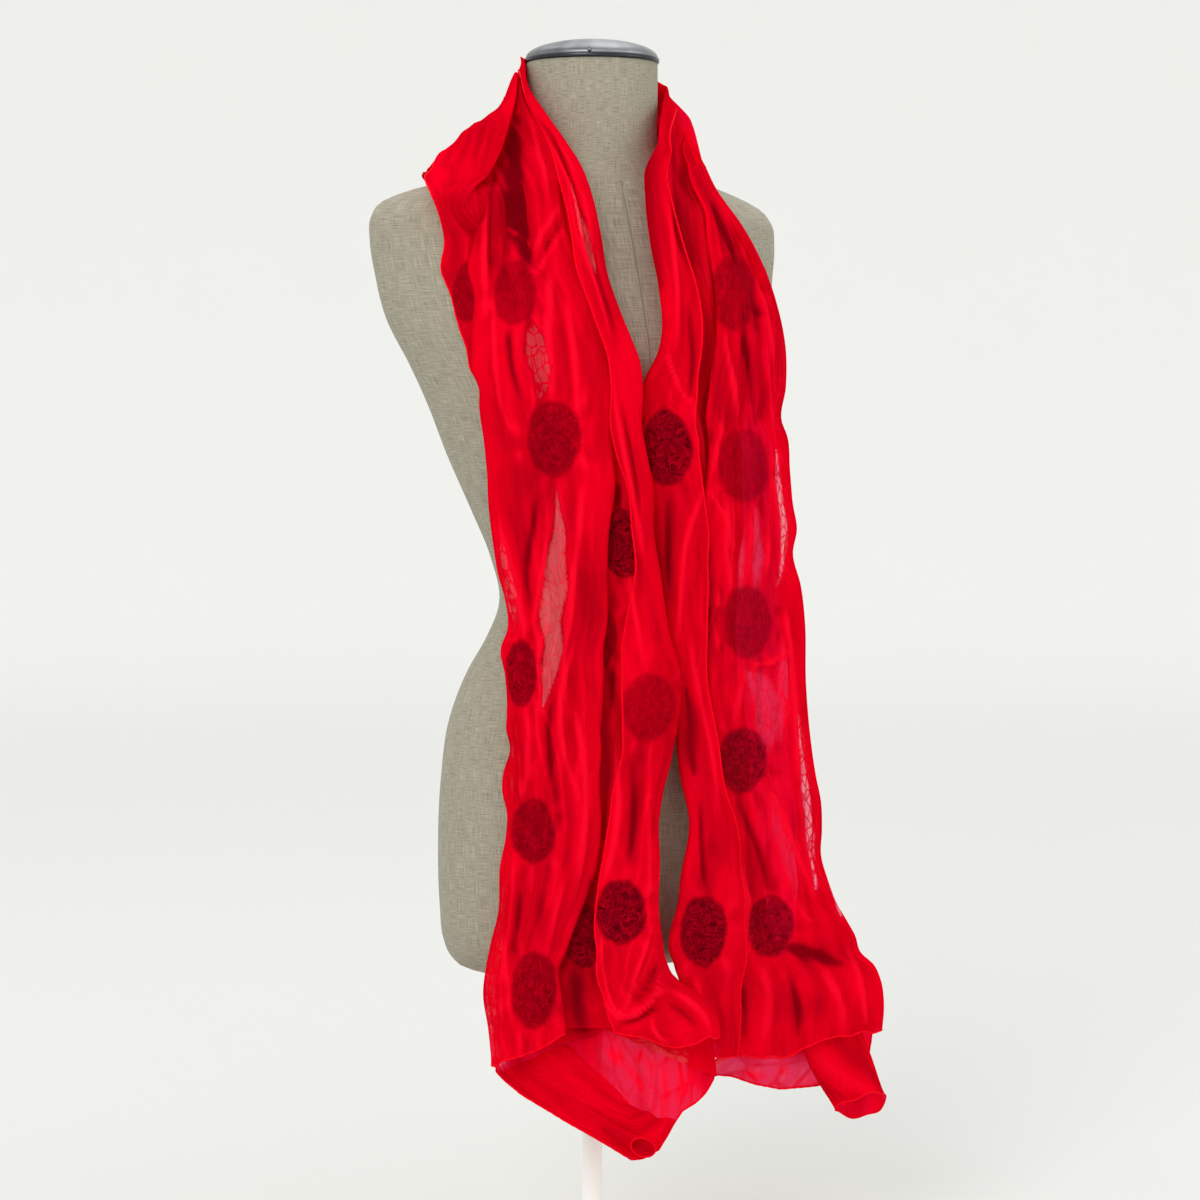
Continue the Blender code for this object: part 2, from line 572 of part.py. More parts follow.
def addForm():
    """The form's body: its rings from the neck down, closed by a flat neck top and underside."""
    tops = [row[0] for row in formSections]
    heights = [float(tops[0])]
    for high, low in zip(tops, tops[1:]):
        count = max(1, int(np.ceil((high - low) / formRingStep)))
        heights.extend(high + (low - high) * (i + 1) / count for i in range(count))
    rings = formRings(heights, formRingPoints)
    slope = np.clip((riseFrom - rings[..., 2]) / (riseFrom - tops[-1]), 0, 1)
    rings[..., 2] -= slope * formRise * rings[..., 1]
    rows, columns = rings.shape[:2]
    faces = []
    for i in range(rows - 1):
        for j in range(columns):
            k = (j + 1) % columns
            faces.append((i * columns + j, i * columns + k, (i + 1) * columns + k, (i + 1) * columns + j))
    faces.append(tuple(range(columns)))
    faces.append(tuple((rows - 1) * columns + j for j in reversed(range(columns))))
    return addMesh("form_body", rings.reshape(-1, 3), faces, "linen")


def undersideAt(x, y):
    """The height of the form's sloping underside."""
    return formSections[-1][0] - formRise * y


def addCap():
    """The domed metal cap on the neck: a short rim, then a quarter of an ellipse."""
    low = neckTop + seamGap
    turn = np.linspace(0, np.pi / 2, 8)[:-1]
    dome = [(capRadius * np.cos(t), low + capRimHeight + (capRise - capRimHeight) * np.sin(t)) for t in turn]
    profile = [(0.0, low), (capRadius - 2.0, low), (capRadius, low + 1.5)] + dome
    profile.append((0.0, low + capRise))
    addTurned("neck_cap", profile, "metal")


def addStand():
    """A round base with a softened rim, and the pole that carries the form."""
    profile = [
        (0.0, 0.0),
        (baseRadius - baseEdge, 0.0),
        (baseRadius, baseEdge),
        (baseRadius, baseThick - baseEdge),
        (baseRadius - baseEdge, baseThick),
        (0.0, baseThick),
    ]
    addTurned("stand_base", profile, "stand", 64)
    turn = np.arange(24) * 2 * np.pi / 24
    low = [(poleRadius * np.cos(t), poleRadius * np.sin(t), baseThick + seamGap) for t in turn]
    top = [(x, y, undersideAt(x, y) - seamGap) for x, y, _ in low]
    faces = [(j, (j + 1) % 24, 24 + (j + 1) % 24, 24 + j) for j in range(24)]
    faces.append(tuple(reversed(range(24))))
    faces.append(tuple(range(24, 48)))
    addMesh("stand_pole", low + top, faces, "stand")


def addScarf(grid, normal, stretches):
    """The three stretches, each a wall, a seam gap apart where they meet."""
    for name, (first, last) in stretches.items():
        part, facing = grid[first : last + 1].copy(), normal[first : last + 1]
        for row, other in ((0, 1), (-1, -2)):
            if (first, last)[row] in (0, len(grid) - 1):
                continue
            step = part[other] - part[row]
            part[row] += step / np.linalg.norm(step, axis=1, keepdims=True) * seamGap / 2
        addWall("scarf_" + name, part, facing, "silk", wall)


def clipToConvex(corners, outline):
    """The part of a polygon inside a convex outline that runs anticlockwise, both as rows of (p, q, ...)."""
    for a, b in zip(outline, np.roll(outline, -1, axis=0)):
        if len(corners) == 0:
            break
        side = (b[0] - a[0]) * (corners[:, 1] - a[1]) - (b[1] - a[1]) * (corners[:, 0] - a[0])
        kept = []
        for i in range(len(corners)):
            j = (i + 1) % len(corners)
            if side[i] >= 0:
                kept.append(corners[i])
            if (side[i] >= 0) != (side[j] >= 0):
                kept.append(corners[i] + (corners[j] - corners[i]) * side[i] / (side[i] - side[j]))
        corners = np.array(kept)
    return corners


def sheetColumns(name):
    """The first and last column of a sheet in the grid."""
    start = 0
    for k, sheet in enumerate(sheets):
        end = start + sheetPoints[sheet] + 1
        if sheet == name:
            return start, end
        start = end + 2
    return None


def addPatch(name, cells, colour, near, thick):
    """A closed piece lying on the cloth. Each cell is a triangle of the cloth, cut to a convex outline: its corners
    are rows of two places on the cloth, the point, and the normal on the piece's side."""
    found, faces, known = [], [], {}
    for corners, outline in cells:
        cut = clipToConvex(corners, outline)
        face = []
        for corner in cut:
            mark = tuple(np.round(corner[2:5], 4))
            if mark not in known:
                known[mark] = len(found)
                found.append(corner)
            if known[mark] not in face:
                face.append(known[mark])
        if len(face) > 2:
            faces.append(face)
    found = np.array(found)
    facing = found[:, 5:8] / np.linalg.norm(found[:, 5:8], axis=1, keepdims=True)
    inner = found[:, 2:5] + facing * near
    outer = found[:, 2:5] + facing * (near + thick)
    edges = {(a, b) for face in faces for a, b in zip(face, face[1:] + face[:1])}
    size = len(found)
    walls = [tuple(f) for f in faces] + [tuple(i + size for i in reversed(f)) for f in faces]
    walls += [(b, a, a + size, b + size) for a, b in sorted(edges) if (b, a) not in edges]
    addMesh(name, toWorld(np.vstack([outer, inner])), walls, colour)


def triangles(data, rows, columns):
    """The cloth's triangles in a block of its grid, with the column each lies in."""
    for i in rows:
        for j in columns:
            square = data[[i, i, i + 1, i + 1], [j, j + 1, j + 1, j]]
            yield j, square[[0, 1, 2]]
            yield j, square[[0, 2, 3]]


def addDot(name, dot, grid, normal, stretches):
    """A felt dot: the facets of its sheet that lie in an ellipse, measured over the cloth, moved out."""
    d = dict(zip(dotColumns, dot))
    first, last = stretches[d["stretch"]]
    start, end = sheetColumns(d["sheet"])
    columns = np.arange(start, end + 1)
    length = np.zeros(grid.shape[:2])
    length[:, 1:] = np.cumsum(np.linalg.norm(np.diff(grid, axis=1), axis=-1), axis=1)
    run = np.zeros(grid.shape[:2])
    run[1:] = np.cumsum(np.linalg.norm(np.diff(grid, axis=0), axis=-1), axis=0)
    rows = np.arange(first, last + 1)
    along = grid[rows, (start + end) // 2, 2]
    order = np.argsort(along)
    row = np.interp(d["height"], along[order], rows[order])
    low = min(int(row), last - 1)
    part = row - low
    placed = grid[low, columns, 0] * (1 - part) + grid[low + 1, columns, 0] * part
    order = np.argsort(placed)
    column = np.interp(d["across"], placed[order], columns[order])
    left = min(int(column), end - 1)
    side = column - left
    centreLength = length[:, left] * (1 - side) + length[:, left + 1] * side
    nearRun = run[:, left] * (1 - side) + run[:, left + 1] * side
    centreRun = nearRun[low] * (1 - part) + nearRun[low + 1] * part
    turn = np.arange(feltCorners) * 2 * np.pi / feltCorners
    outline = np.stack([d["halfWidth"] * np.cos(turn), d["halfHeight"] * np.sin(turn)], axis=1)
    p = length - centreLength[:, None]
    q = np.broadcast_to((nearRun - centreRun)[:, None], p.shape)
    outward = 1.0 if d["sheet"] in ("ab", "cd", "ef") else -1.0
    data = np.concatenate([p[..., None], q[..., None], grid, normal * outward], axis=-1)
    near = np.nonzero(np.abs(q[:, 0]) < 3 * d["halfHeight"])[0]
    span = range(max(first, near[0]), min(last, near[-1]))
    cells = ((corners, outline) for _, corners in triangles(data, span, range(start, end)))
    addPatch(name, cells, "felt", wall / 2 + seamGap, feltThick)


def addTurnedHem(grid, normal):
    """The band of the left stretch's hem that is turned up over the outside of its back sheet."""
    start, end = sheetColumns("ab")
    rows = range(0, 6)
    share = (np.arange(end + 1) - start) / (end - start)
    tall = np.interp(share, turnShareKeys, turnHeights)
    run = np.zeros((len(rows) + 1, end + 1))
    steps = np.linalg.norm(np.diff(grid[: len(rows) + 1, : end + 1], axis=0), axis=-1)
    run[1:] = np.cumsum(steps, axis=0)
    p = np.broadcast_to(share, run.shape)
    block = grid[: len(rows) + 1, : end + 1], normal[: len(rows) + 1, : end + 1]
    data = np.concatenate([p[..., None], run[..., None], *block], axis=-1)
    cells = []
    for j, corners in triangles(data, rows, range(start, end)):
        low, high = max(share[j], turnShares[0]), min(share[j + 1], turnShares[1])
        if high <= low:
            continue
        tops = np.interp((low, high), share, tall)
        outline = np.array([(low, turnStart), (high, turnStart), (high, tops[1]), (low, tops[0])])
        cells.append((corners, outline))
    addPatch("hem_turn_left", cells, "silk", wall / 2 + seamGap, wall)


def addCurl():
    """The right stretch's outer corner, curled into a tube that is open at both ends and cut on a slant."""
    t = np.linspace(0, 1, curlRows)[:, None]
    turn = np.arange(curlPoints) * 2 * np.pi / curlPoints
    across = curlTop[0] + (curlMouth[0] - curlTop[0]) * t
    height = curlTop[1] + (curlMouth[1] - curlTop[1]) * t
    halfWidth = curlHalfWidth[0] + (curlHalfWidth[1] - curlHalfWidth[0]) * t
    halfDepth = curlHalfDepth[0] + (curlHalfDepth[1] - curlHalfDepth[0]) * t**2
    rings = []
    for inset in (wall / 2, -wall / 2):
        x = across + (halfWidth + inset) * np.cos(turn)
        depth = wall + seamGap + halfDepth + (halfDepth + inset) * np.sin(turn)
        y = reachAt(x, np.full(x.shape, curlTop[1]), clearOfForm + depth)
        z = height + t * curlDrop * np.sin(turn) + np.zeros_like(x)
        rings.append(np.stack([x, y, z], axis=-1))
    outer, inner = rings
    size = curlRows * curlPoints
    points = toWorld(np.vstack([outer.reshape(-1, 3), inner.reshape(-1, 3)]))
    faces = []
    for i in range(curlRows - 1):
        for j in range(curlPoints):
            k = (j + 1) % curlPoints
            quad = (i * curlPoints + j, i * curlPoints + k, (i + 1) * curlPoints + k, (i + 1) * curlPoints + j)
            faces.append(quad)
            faces.append(tuple(v + size for v in reversed(quad)))
    for j in range(curlPoints):
        k = (j + 1) % curlPoints
        bottom = (curlRows - 1) * curlPoints
        faces.append((k, j, j + size, k + size))
        faces.append((bottom + j, bottom + k, bottom + k + size, bottom + j + size))
    addMesh("corner_curl_right", points, faces, "silk")


def main():
    for thing in list(bpy.data.objects):
        bpy.data.objects.remove(thing, do_unlink=True)
    addForm()
    addCap()
    addStand()
    grid, stretches = scarfGrid()
    normal = normalsOf(grid)
    addScarf(grid, normal, stretches)
    addTurnedHem(grid, normal)
    addCurl()
    for i, dot in enumerate(dots):
        addDot(f"felt_dot_{i + 1:02d}", dot, grid, normal, stretches)


main()
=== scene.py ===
# A sheer red silk chiffon scarf with felted wool dots, hung round the neck of a linen covered dress form. The
# cloth is worked out in millimetres as across, forward and height in the picture, then turned to the frame.

from functools import partial

import bpy
import numpy as np
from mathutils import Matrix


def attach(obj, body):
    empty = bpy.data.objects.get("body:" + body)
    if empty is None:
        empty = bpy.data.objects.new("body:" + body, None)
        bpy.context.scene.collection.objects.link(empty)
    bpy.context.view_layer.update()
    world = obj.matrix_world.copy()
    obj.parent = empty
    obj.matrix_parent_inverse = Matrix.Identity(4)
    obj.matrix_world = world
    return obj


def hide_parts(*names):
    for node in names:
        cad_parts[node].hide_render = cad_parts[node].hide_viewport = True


mm = 0.001
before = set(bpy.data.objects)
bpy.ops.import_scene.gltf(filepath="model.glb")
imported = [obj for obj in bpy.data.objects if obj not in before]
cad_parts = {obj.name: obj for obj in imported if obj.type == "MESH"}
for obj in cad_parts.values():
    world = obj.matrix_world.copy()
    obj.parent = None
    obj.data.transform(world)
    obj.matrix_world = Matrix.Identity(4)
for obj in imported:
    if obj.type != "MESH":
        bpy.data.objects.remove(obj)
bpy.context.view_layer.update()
print("frame loaded:", len(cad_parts), "nodes")


# The camera: metres, degrees, and the lens and its sensor in mm
view = {
    "yaw": -25.0,
    "down": 3.64,
    "distance": 2.75,
    "height": 0.775,
    "right": 0.007,
    "lens": 94.3,
    "sensor": 36.0,
}
pictureSize = 1200.0
focal = view["lens"] / view["sensor"] * pictureSize  # in pixels


# Where points given as across, forward and height fall in the picture: x, y and the pixels that a mm makes.
def toPicture(points):
    down = np.radians(view["down"])
    away = view["distance"] * 1000 - points[..., 1]
    rise = points[..., 2] - view["height"] * 1000
    scale = focal / (away * np.cos(down) - rise * np.sin(down))
    x = pictureSize / 2 + scale * (points[..., 0] - view["right"] * 1000)
    return x, pictureSize / 2 - scale * (away * np.sin(down) + rise * np.cos(down)), scale


# The height at which a point this far forward falls at y in the picture.
def heightAt(y, forward):
    down = np.radians(view["down"])
    slope = (pictureSize / 2 - y) / focal
    away = view["distance"] * 1000 - forward
    rise = away * (slope * np.cos(down) - np.sin(down)) / (np.cos(down) + slope * np.sin(down))
    return view["height"] * 1000 + rise


# The form's level sections, from the neck down: half its width, how far its front and back stand from the
# section's middle, how far forward that middle is, and how square the section is (2 is an ellipse)
formColumns = ("height", "halfWidth", "front", "back", "forward", "square")
formSections = (
    (1066, 57, 57, 57, 0, 2.0),
    (1030, 57, 57, 57, 0, 2.0),
    (1002, 58, 58, 59, -2, 2.0),
    (985, 64, 62, 64, -6, 2.0),
    (973, 88, 70, 70, -14, 2.0),
    (964, 122, 84, 72, -26, 1.9),
    (956, 152, 96, 70, -34, 1.8),
    (946, 178, 104, 68, -38, 1.8),
    (933, 189, 110, 66, -38, 1.9),
    (912, 191, 118, 68, -37, 1.9),
    (885, 187, 128, 72, -36, 1.9),
    (842, 177, 138, 80, -30, 1.9),
    (807, 161, 138, 88, -20, 1.9),
    (773, 146, 130, 94, -11, 2.0),
    (727, 130, 116, 95, -2, 2.0),
    (680, 113, 98, 86, 10, 2.0),
    (640, 100, 80, 76, 20, 2.0),
    (600, 95, 71, 71, 26, 2.0),
    (571, 106, 76, 78, 25, 2.0),
    (543, 121, 86, 88, 21, 2.0),
    (500, 134, 97, 99, 14, 2.1),
    (448, 140, 103, 105, 10, 2.1),
    (390, 142, 103, 105, 10, 2.2),
    (338, 141, 100, 101, 10, 2.2),
    (310, 138, 97, 98, 10, 2.2),
    (294, 131, 91, 92, 10, 2.2),
    (283, 118, 80, 82, 10, 2.2),
    (276, 97, 62, 66, 10, 2.2),
)
# The underside rises towards the front by this share of the way, starting from this height
formRise = 0.16
riseFrom = 420.0

clearOfForm = 4.5  # mm from the form to the lowest sheet on the chest
clearOfShoulder = 2.12  # mm, and over the shoulders
mostSteep = 2.8  # where the cloth slopes, its sheets stand at most this much further apart
viewYaw = np.radians(-view["yaw"])
lines = ("a", "b", "c", "d", "e", "f", "g")  # a is the outer edge, g the inner edge, b to f are folds
sheets = ("ab", "bc", "cd", "de", "ef", "fg")
restLevel = {"ab": 0.0, "bc": 1.0, "cd": 4.0, "de": 3.0, "ef": 2.0, "fg": 5.0}
overLevel = {"ab": 6.0, "bc": 5.0}
leastTurn = 1.5  # mm
mostTurned = 0.8  # the share of a sheet that the turns at its two ends may take up
tiltWidth = 18.0  # mm, the second sheet tilts from one level to the next where it is narrower
hollowEnd = 0.85  # where the front panel's hollow ends, as a share of the panel up to the inner flap

# The stretch on the picture's left, top row first. inner and outer are the heights at the inner and outer
# edge; wrapIn and wrapOut are 0 at the shoulder's crest and 1 on the chest; gap is the space between levels;
# over is 1 where the outer flap lies over the front, -1 where it is tucked behind; hollow sinks the front
# panel by levels; shift is how far the inner edge stands forward of the rest, fading away from it, so that
# the left stretch passes over the right one; a to g are the lines' places across.
rowColumns = ("inner", "outer", "wrapIn", "wrapOut", "gap", "over", "hollow", "shift") + lines
shiftFade = 45.0  # mm


# Rows that hang level below the shoulders: height, hollow, shift and the lines' places, with 6 mm between the
# levels and the outer flap tucked behind.
def levelRows(rows):
    return tuple((row[0], row[0], 1.0, 1.0, 6.0, -1.0, *row[1:]) for row in rows)


leftRows = (
    (1036, 961, 1.00, 0.30, 4.2, 1.00, 0.5, 0, -137, -67, -122, -60, -68, -52, -58),
    (1003, 956, 1.00, 0.55, 4.8, 1.00, 1.0, 0, -139, -75, -121, -39, -49, -29, -40),
    (974, 950, 1.00, 0.80, 5.4, 1.00, 1.4, 0, -139, -88, -112, -28, -38, -9, -30),
    (962, 943, 1.00, 0.92, 7.5, 0.50, 1.6, 0, -138, -101, -101, -27, -38, -3, -27),
    (945, 932, 1.00, 1.00, 6.0, 0.00, 2.0, 0, -134, -110, -93, -26, -37, 2, -23),
    (928, 919, 1.00, 1.00, 6.0, -0.50, 2.0, 0, -129, -96, -96, -23, -34, 6, -19),
    (907, 905, 1.00, 1.00, 6.0, -1.00, 2.4, 0, -125, -70, -100, -18, -31, 9, -16),
) + levelRows((
    (860, 0.8, 0, -119, -66, -99, 0, -25, 21, -3),
    (818, 0.0, 2, -105, -62, -100, 11, -28, 37, 12),
    (775, 0.0, 9, -94, -58, -97, 17, -30, 44, 17),
    (732, 0.0, 11, -88, -40, -91, 19, -17, 48, 22),
    (690, 0.0, 11, -85, -35, -88, 19, -22, 53, 33),
    (639, 0.0, 11, -78, -42, -82, 14, -25, 58, 38),
    (588, 0.3, 11, -71, -47, -75, 12, -20, 65, 28),
    (537, 0.0, 11, -71, -43, -75, 9, -27, 76, 25),
    (486, 0.0, 9, -69, -27, -73, 8, -14, 72, 27),
    (434, 0.0, 4, -71, -14, -75, 9, -10, 61, 17),
    (383, 0.0, 2, -73, -2, -77, 4, -14, 58, 8),
    (340, 0.0, 2, -77, 20, -80, -12, -27, 58, 3),
    (297, 0.0, 4, -84, 49, -89, -26, -38, 63, 6),
    (261, 0.0, 6, -88, 84, -92, -28, -42, 91, 9),
))
# Where each line ends at the hem. Each sheet's hem sags below the straight line between its two ends, most at
# the share of its width given by the peak.
leftHem = {
    "across": {"a": -87, "b": 104, "c": -91, "d": -27, "e": -42, "f": 106, "g": 14},
    "height": {"a": 206, "b": 197, "c": 209, "d": 232, "e": 236, "f": 226, "g": 248},
    "sag": {"ab": 74, "bc": -40, "cd": -6, "de": 0, "ef": -6, "fg": -6},
    "peak": {"ab": 0.62, "bc": 0.5, "cd": 0.5, "de": 0.5, "ef": 0.5, "fg": 0.5},
    "shift": 8.0,
}

# The stretch on the picture's right, laid out the same way
rightRows = (
    (1012, 965, 1.00, 0.40, 3.6, -1.00, 0.0, 0, 100, 92, 103, 80, 88, 60, 68),
    (974, 950, 1.00, 0.80, 5.0, -1.00, 0.0, 0, 108, 101, 110, 86, 94, 50, 66),
    (945, 930, 1.00, 1.00, 5.2, -1.00, 0.3, 0, 112, 103, 116, 90, 100, 46, 66),
    (907, 903, 1.00, 1.00, 6.0, -1.00, 1.2, 0, 134, 123, 139, 97, 111, 50, 77),
) + levelRows((
    (860, 0.8, -2, 155, 141, 160, 104, 122, 56, 89),
    (818, 0.0, -8, 163, 150, 169, 103, 126, 55, 91),
    (775, 0.0, -13, 162, 152, 168, 99, 122, 42, 89),
    (732, 0.0, -14, 165, 155, 170, 96, 126, 41, 87),
    (690, 0.0, -14, 168, 157, 175, 92, 128, 45, 92),
    (639, 0.0, -14, 171, 160, 178, 83, 126, 51, 96),
    (588, 0.0, -14, 178, 163, 185, 80, 122, 60, 96),
    (537, 0.0, -14, 180, 172, 187, 81, 124, 67, 97),
    (486, 0.0, -10, 184, 172, 191, 86, 128, 72, 107),
    (434, 0.0, -4, 192, 176, 199, 92, 134, 79, 116),
    (383, 0.0, 0, 195, 180, 202, 90, 143, 77, 127),
    (340, 0.0, 0, 204, 180, 211, 84, 151, 71, 131),
    (297, 0.0, -10, 225, 172, 233, 82, 160, 66, 131),
    (261, 0.0, -14, 245, 146, 253, 104, 177, 88, 128),
))
rightHem = {
    "across": {"a": 246, "b": 112, "c": 255, "d": 124, "e": 186, "f": 109, "g": 136},
    "height": {"a": 228, "b": 194, "c": 210, "d": 213, "e": 234, "f": 217, "g": 209},
    "sag": {"ab": 46, "bc": -46, "cd": 5, "de": 0, "ef": 0, "fg": 0},
    "peak": {"ab": 0.4, "bc": 0.72, "cd": 0.6, "de": 0.5, "ef": 0.5, "fg": 0.5},
    "shift": -14.0,
}

# Where the cloth goes over the shoulders and behind the neck, from the left crest to the right one: its inner
# edge beside the neck and its outer edge, each as across, forward and height, how far the cloth dips between
# them, the space between levels, over as above, and the lines' shares of the way from the inner to the outer
# edge.
crestColumns = ("inX", "inY", "inZ", "outX", "outY", "outZ", "dip", "gap", "over") + lines
crests = (
    (-62, -3, 1056, -133, 26, 957, 20, 3.2, 1.00, 1.0, 0.10, 0.88, 0.07, 0.16, 0.0, 0.08),
    (-57, -29, 1058, -117, -66, 950, 18, 3.2, 0.90, 1.0, 0.24, 0.78, 0.08, 0.18, 0.0, 0.10),
    (-36, -54, 1060, -72, -118, 932, 14, 5.0, 0.50, 1.0, 0.62, 0.62, 0.09, 0.20, 0.0, 0.12),
    (0, -66, 1058, 8, -134, 918, 12, 3.4, 0.00, 1.0, 0.74, 0.56, 0.12, 0.24, 0.0, 0.14),
    (36, -55, 1053, 70, -128, 948, 10, 3.2, -0.50, 1.0, 0.78, 0.78, 0.24, 0.38, 0.0, 0.16),
    (57, -30, 1046, 97, -94, 962, 8, 3.2, -0.90, 1.0, 0.76, 0.94, 0.38, 0.54, 0.0, 0.20),
    (61, -5, 1038, 95, -56, 974, 4, 3.4, -1.00, 1.0, 0.80, 1.04, 0.50, 0.66, 0.0, 0.22),
)

fine = {
    "sheetPoints": {"ab": 56, "bc": 34, "cd": 62, "de": 20, "ef": 50, "fg": 40},
    "turnPoints": 7,  # in each fold between two sheets
    "rowStep": 4.2,  # mm along the cloth
}


# One section's points: each line is an end or a half ellipse between two sheets' levels. Gives the places,
# the levels, and for each point its sheet and its share of that sheet.
def zigzag(place, level, gap):
    across, up, sheetOf, share = [], [], [], []
    tilt = max(0.0, 1 - abs(place[2] - place[1]) / tiltWidth)
    half = np.linspace(-np.pi / 2, np.pi / 2, fine["turnPoints"] + 2)[1:-1]
    sizes = [turnSize(level, k, gap) if 0 < k < len(sheets) else 0.0 for k in range(len(lines))]
    for k, name in enumerate(sheets):
        start, end = place[k], place[k + 1]
        length = max(abs(end - start), 1e-6)
        scale = min(1.0, mostTurned * length / max(sizes[k] + sizes[k + 1], 1e-6)) / length
        inner = np.linspace(sizes[k] * scale, 1 - sizes[k + 1] * scale, fine["sheetPoints"][name])
        across.append(start + (end - start) * inner)
        tilted = level[0] + (level[2] - level[0]) * inner if name == "bc" else np.full(len(inner), level[k])
        up.append(level[k] * (1 - tilt) + tilted * tilt)
        sheetOf.append(np.full(len(inner), k))
        share.append(inner)
        if k < len(sheets) - 1:
            reach = (end - across[-1][-1]) * np.cos(half)
            middle = (level[k] + level[k + 1]) / 2
            if k < 2:
                middle = middle * (1 - tilt) + level[2 * k] * tilt
            nextUp = level[k + 1] if k > 0 else level[1] * (1 - tilt) + level[0] * tilt
            leaving = middle + (middle - up[-1][-1]) * np.sin(half)
            arriving = middle + (nextUp - middle) * np.sin(half)
            across.append(across[-1][-1] + reach)
            up.append(np.where(half < 0, leaving, arriving))
            sheetOf.append(np.where(half < 0, k, k + 1))
            share.append(np.where(half < 0, 1.0, 0.0))
    return tuple(np.concatenate(part) for part in (across, up, sheetOf, share))


# A dictionary with one array for each named column.
def table(columns, rows):
    return {name: np.array([row[i] for row in rows]) for i, name in enumerate(columns)}


# A smooth curve through values at rising keys, read at the places in at: cubic steps whose slope at each key
# is the mean of the slopes on its two sides, the nearer side counting more.
def through(keys, values, at):
    keys = np.asarray(keys, float)
    values = np.asarray(values, float)
    flat = values.reshape(len(keys), -1)
    step = np.diff(keys)[:, None]
    slope = np.diff(flat, axis=0) / step
    before, after = step[:-1], step[1:]
    middle = (slope[1:] * before + slope[:-1] * after) / (after + before)
    tangent = np.vstack([slope[:1], middle, slope[-1:]])
    at = np.asarray(at, float)
    i = np.clip(np.searchsorted(keys, at, side="right") - 1, 0, len(keys) - 2)
    t = ((at - keys[i]) / (keys[i + 1] - keys[i]))[:, None]
    width = step[i]
    found = (
        (2 * t**3 - 3 * t**2 + 1) * flat[i]
        + (t**3 - 2 * t**2 + t) * width * tangent[i]
        + (3 * t**2 - 2 * t**3) * flat[i + 1]
        + (t**3 - t**2) * width * tangent[i + 1]
    )
    return found.reshape((len(at),) + values.shape[1:])


# Millimetres as across, forward and height in the picture, turned to the form's own x, y and z.
def toWorld(points):
    across, forward, height = points[..., 0], points[..., 1], points[..., 2]
    x = across * np.cos(viewYaw) - forward * np.sin(viewYaw)
    y = -across * np.sin(viewYaw) - forward * np.cos(viewYaw)
    return np.stack([x, y, height], axis=-1)


# The opposite of toWorld.
def toView(points):
    x, y, height = points[..., 0], points[..., 1], points[..., 2]
    across = x * np.cos(viewYaw) - y * np.sin(viewYaw)
    forward = -x * np.sin(viewYaw) - y * np.cos(viewYaw)
    return np.stack([across, forward, height], axis=-1)


# Even angles round a circle.
def angles(count):
    return np.arange(count) * 2 * np.pi / count


# Points round the form at each height, from x = halfWidth through the back: a superellipse whose front and
# back halves have their own depths.
def formRings(heights, count):
    form = table(formColumns, formSections)
    keys = -form["height"]
    size = {name: through(keys, form[name], -np.asarray(heights, float)) for name in formColumns[1:]}
    turn = angles(count)
    power = 2 / size["square"][:, None]
    c = np.sign(np.cos(turn)) * np.abs(np.cos(turn)) ** power
    s = np.sign(np.sin(turn)) * np.abs(np.sin(turn)) ** power
    x = size["halfWidth"][:, None] * c
    y = np.where(s > 0, size["back"][:, None], size["front"][:, None]) * s - size["forward"][:, None]
    z = np.broadcast_to(np.asarray(heights, float)[:, None], x.shape)
    return np.stack([x, y, z], axis=-1)


# The table of how far forward the cloth lies, in mm
hang = {
    "top": 1064.0,
    "bottom": 196.0,
    "left": -220.0,
    "right": 272.0,
    "down": 6.0,  # from row to row
    "across": 4.0,  # from column to column
    "ringPoints": 120,
    "shoulder": 930.0,  # above it no cloth hangs beside the form
    "edge": 12.0,  # from the form's side to where the cloth leaves it
    "fall": 0.8,  # how far back it goes for each mm past that
    "evened": 3,
    "steepEvened": 14,
    "shoulderLow": 880.0,
    "shoulderStep": 2.0,
}


# How far forward the cloth lies for each height and place across: the form's front there, or further up
# where it stands further forward, because the cloth hangs straight down from it.
def reachTable():
    heights = np.arange(hang["top"], hang["bottom"], -hang["down"])
    across = np.arange(hang["left"], hang["right"], hang["across"])
    edge = hang["edge"]
    reach = np.full((len(heights), len(across)), np.nan)
    rings = toView(formRings(np.maximum(heights, formSections[-1][0]), hang["ringPoints"]))
    for row, ring in zip(reach, rings):
        order = np.roll(ring, -int(np.argmin(ring[:, 0])), axis=0)
        end = int(np.argmax(order[:, 0]))
        one, two = order[: end + 1], np.vstack([order[end:], order[:1]])[::-1]
        front = one if one[:, 1].mean() > two[:, 1].mean() else two
        low, high = front[0, 0] + edge, front[-1, 0] - edge
        held = np.clip(across, low, high)
        row[:] = np.interp(held, front[:, 0], front[:, 1]) - hang["fall"] * np.abs(across - held)
        if ring[0, 2] > hang["shoulder"]:
            row[(across < low - edge) | (across > high + edge)] = np.nan
    for i in range(len(heights) - 2, -1, -1):
        empty = np.isnan(reach[i])
        reach[i, empty] = reach[i + 1, empty]
    return np.maximum.accumulate(reach, axis=0)


# A table evened out with its neighbours, passes times over.
def smoothed(values, passes):
    for _ in range(passes):
        wide = np.pad(values, 1, mode="edge")
        values = (wide[:-2, 1:-1] + wide[2:, 1:-1] + wide[1:-1, :-2] + wide[1:-1, 2:] + 4 * values) / 8
    return values


# How much further apart, measured forward, sheets must be to keep their distance where the cloth slopes: the
# root of one and the squares of its slopes down and across.
def steepness(forward):
    down, along = np.gradient(forward, hang["down"], hang["across"])
    return smoothed(np.minimum(np.sqrt(1 + down**2 + along**2), mostSteep), hang["steepEvened"])


reachForward = smoothed(reachTable(), hang["evened"])
reachSteep = steepness(reachForward)


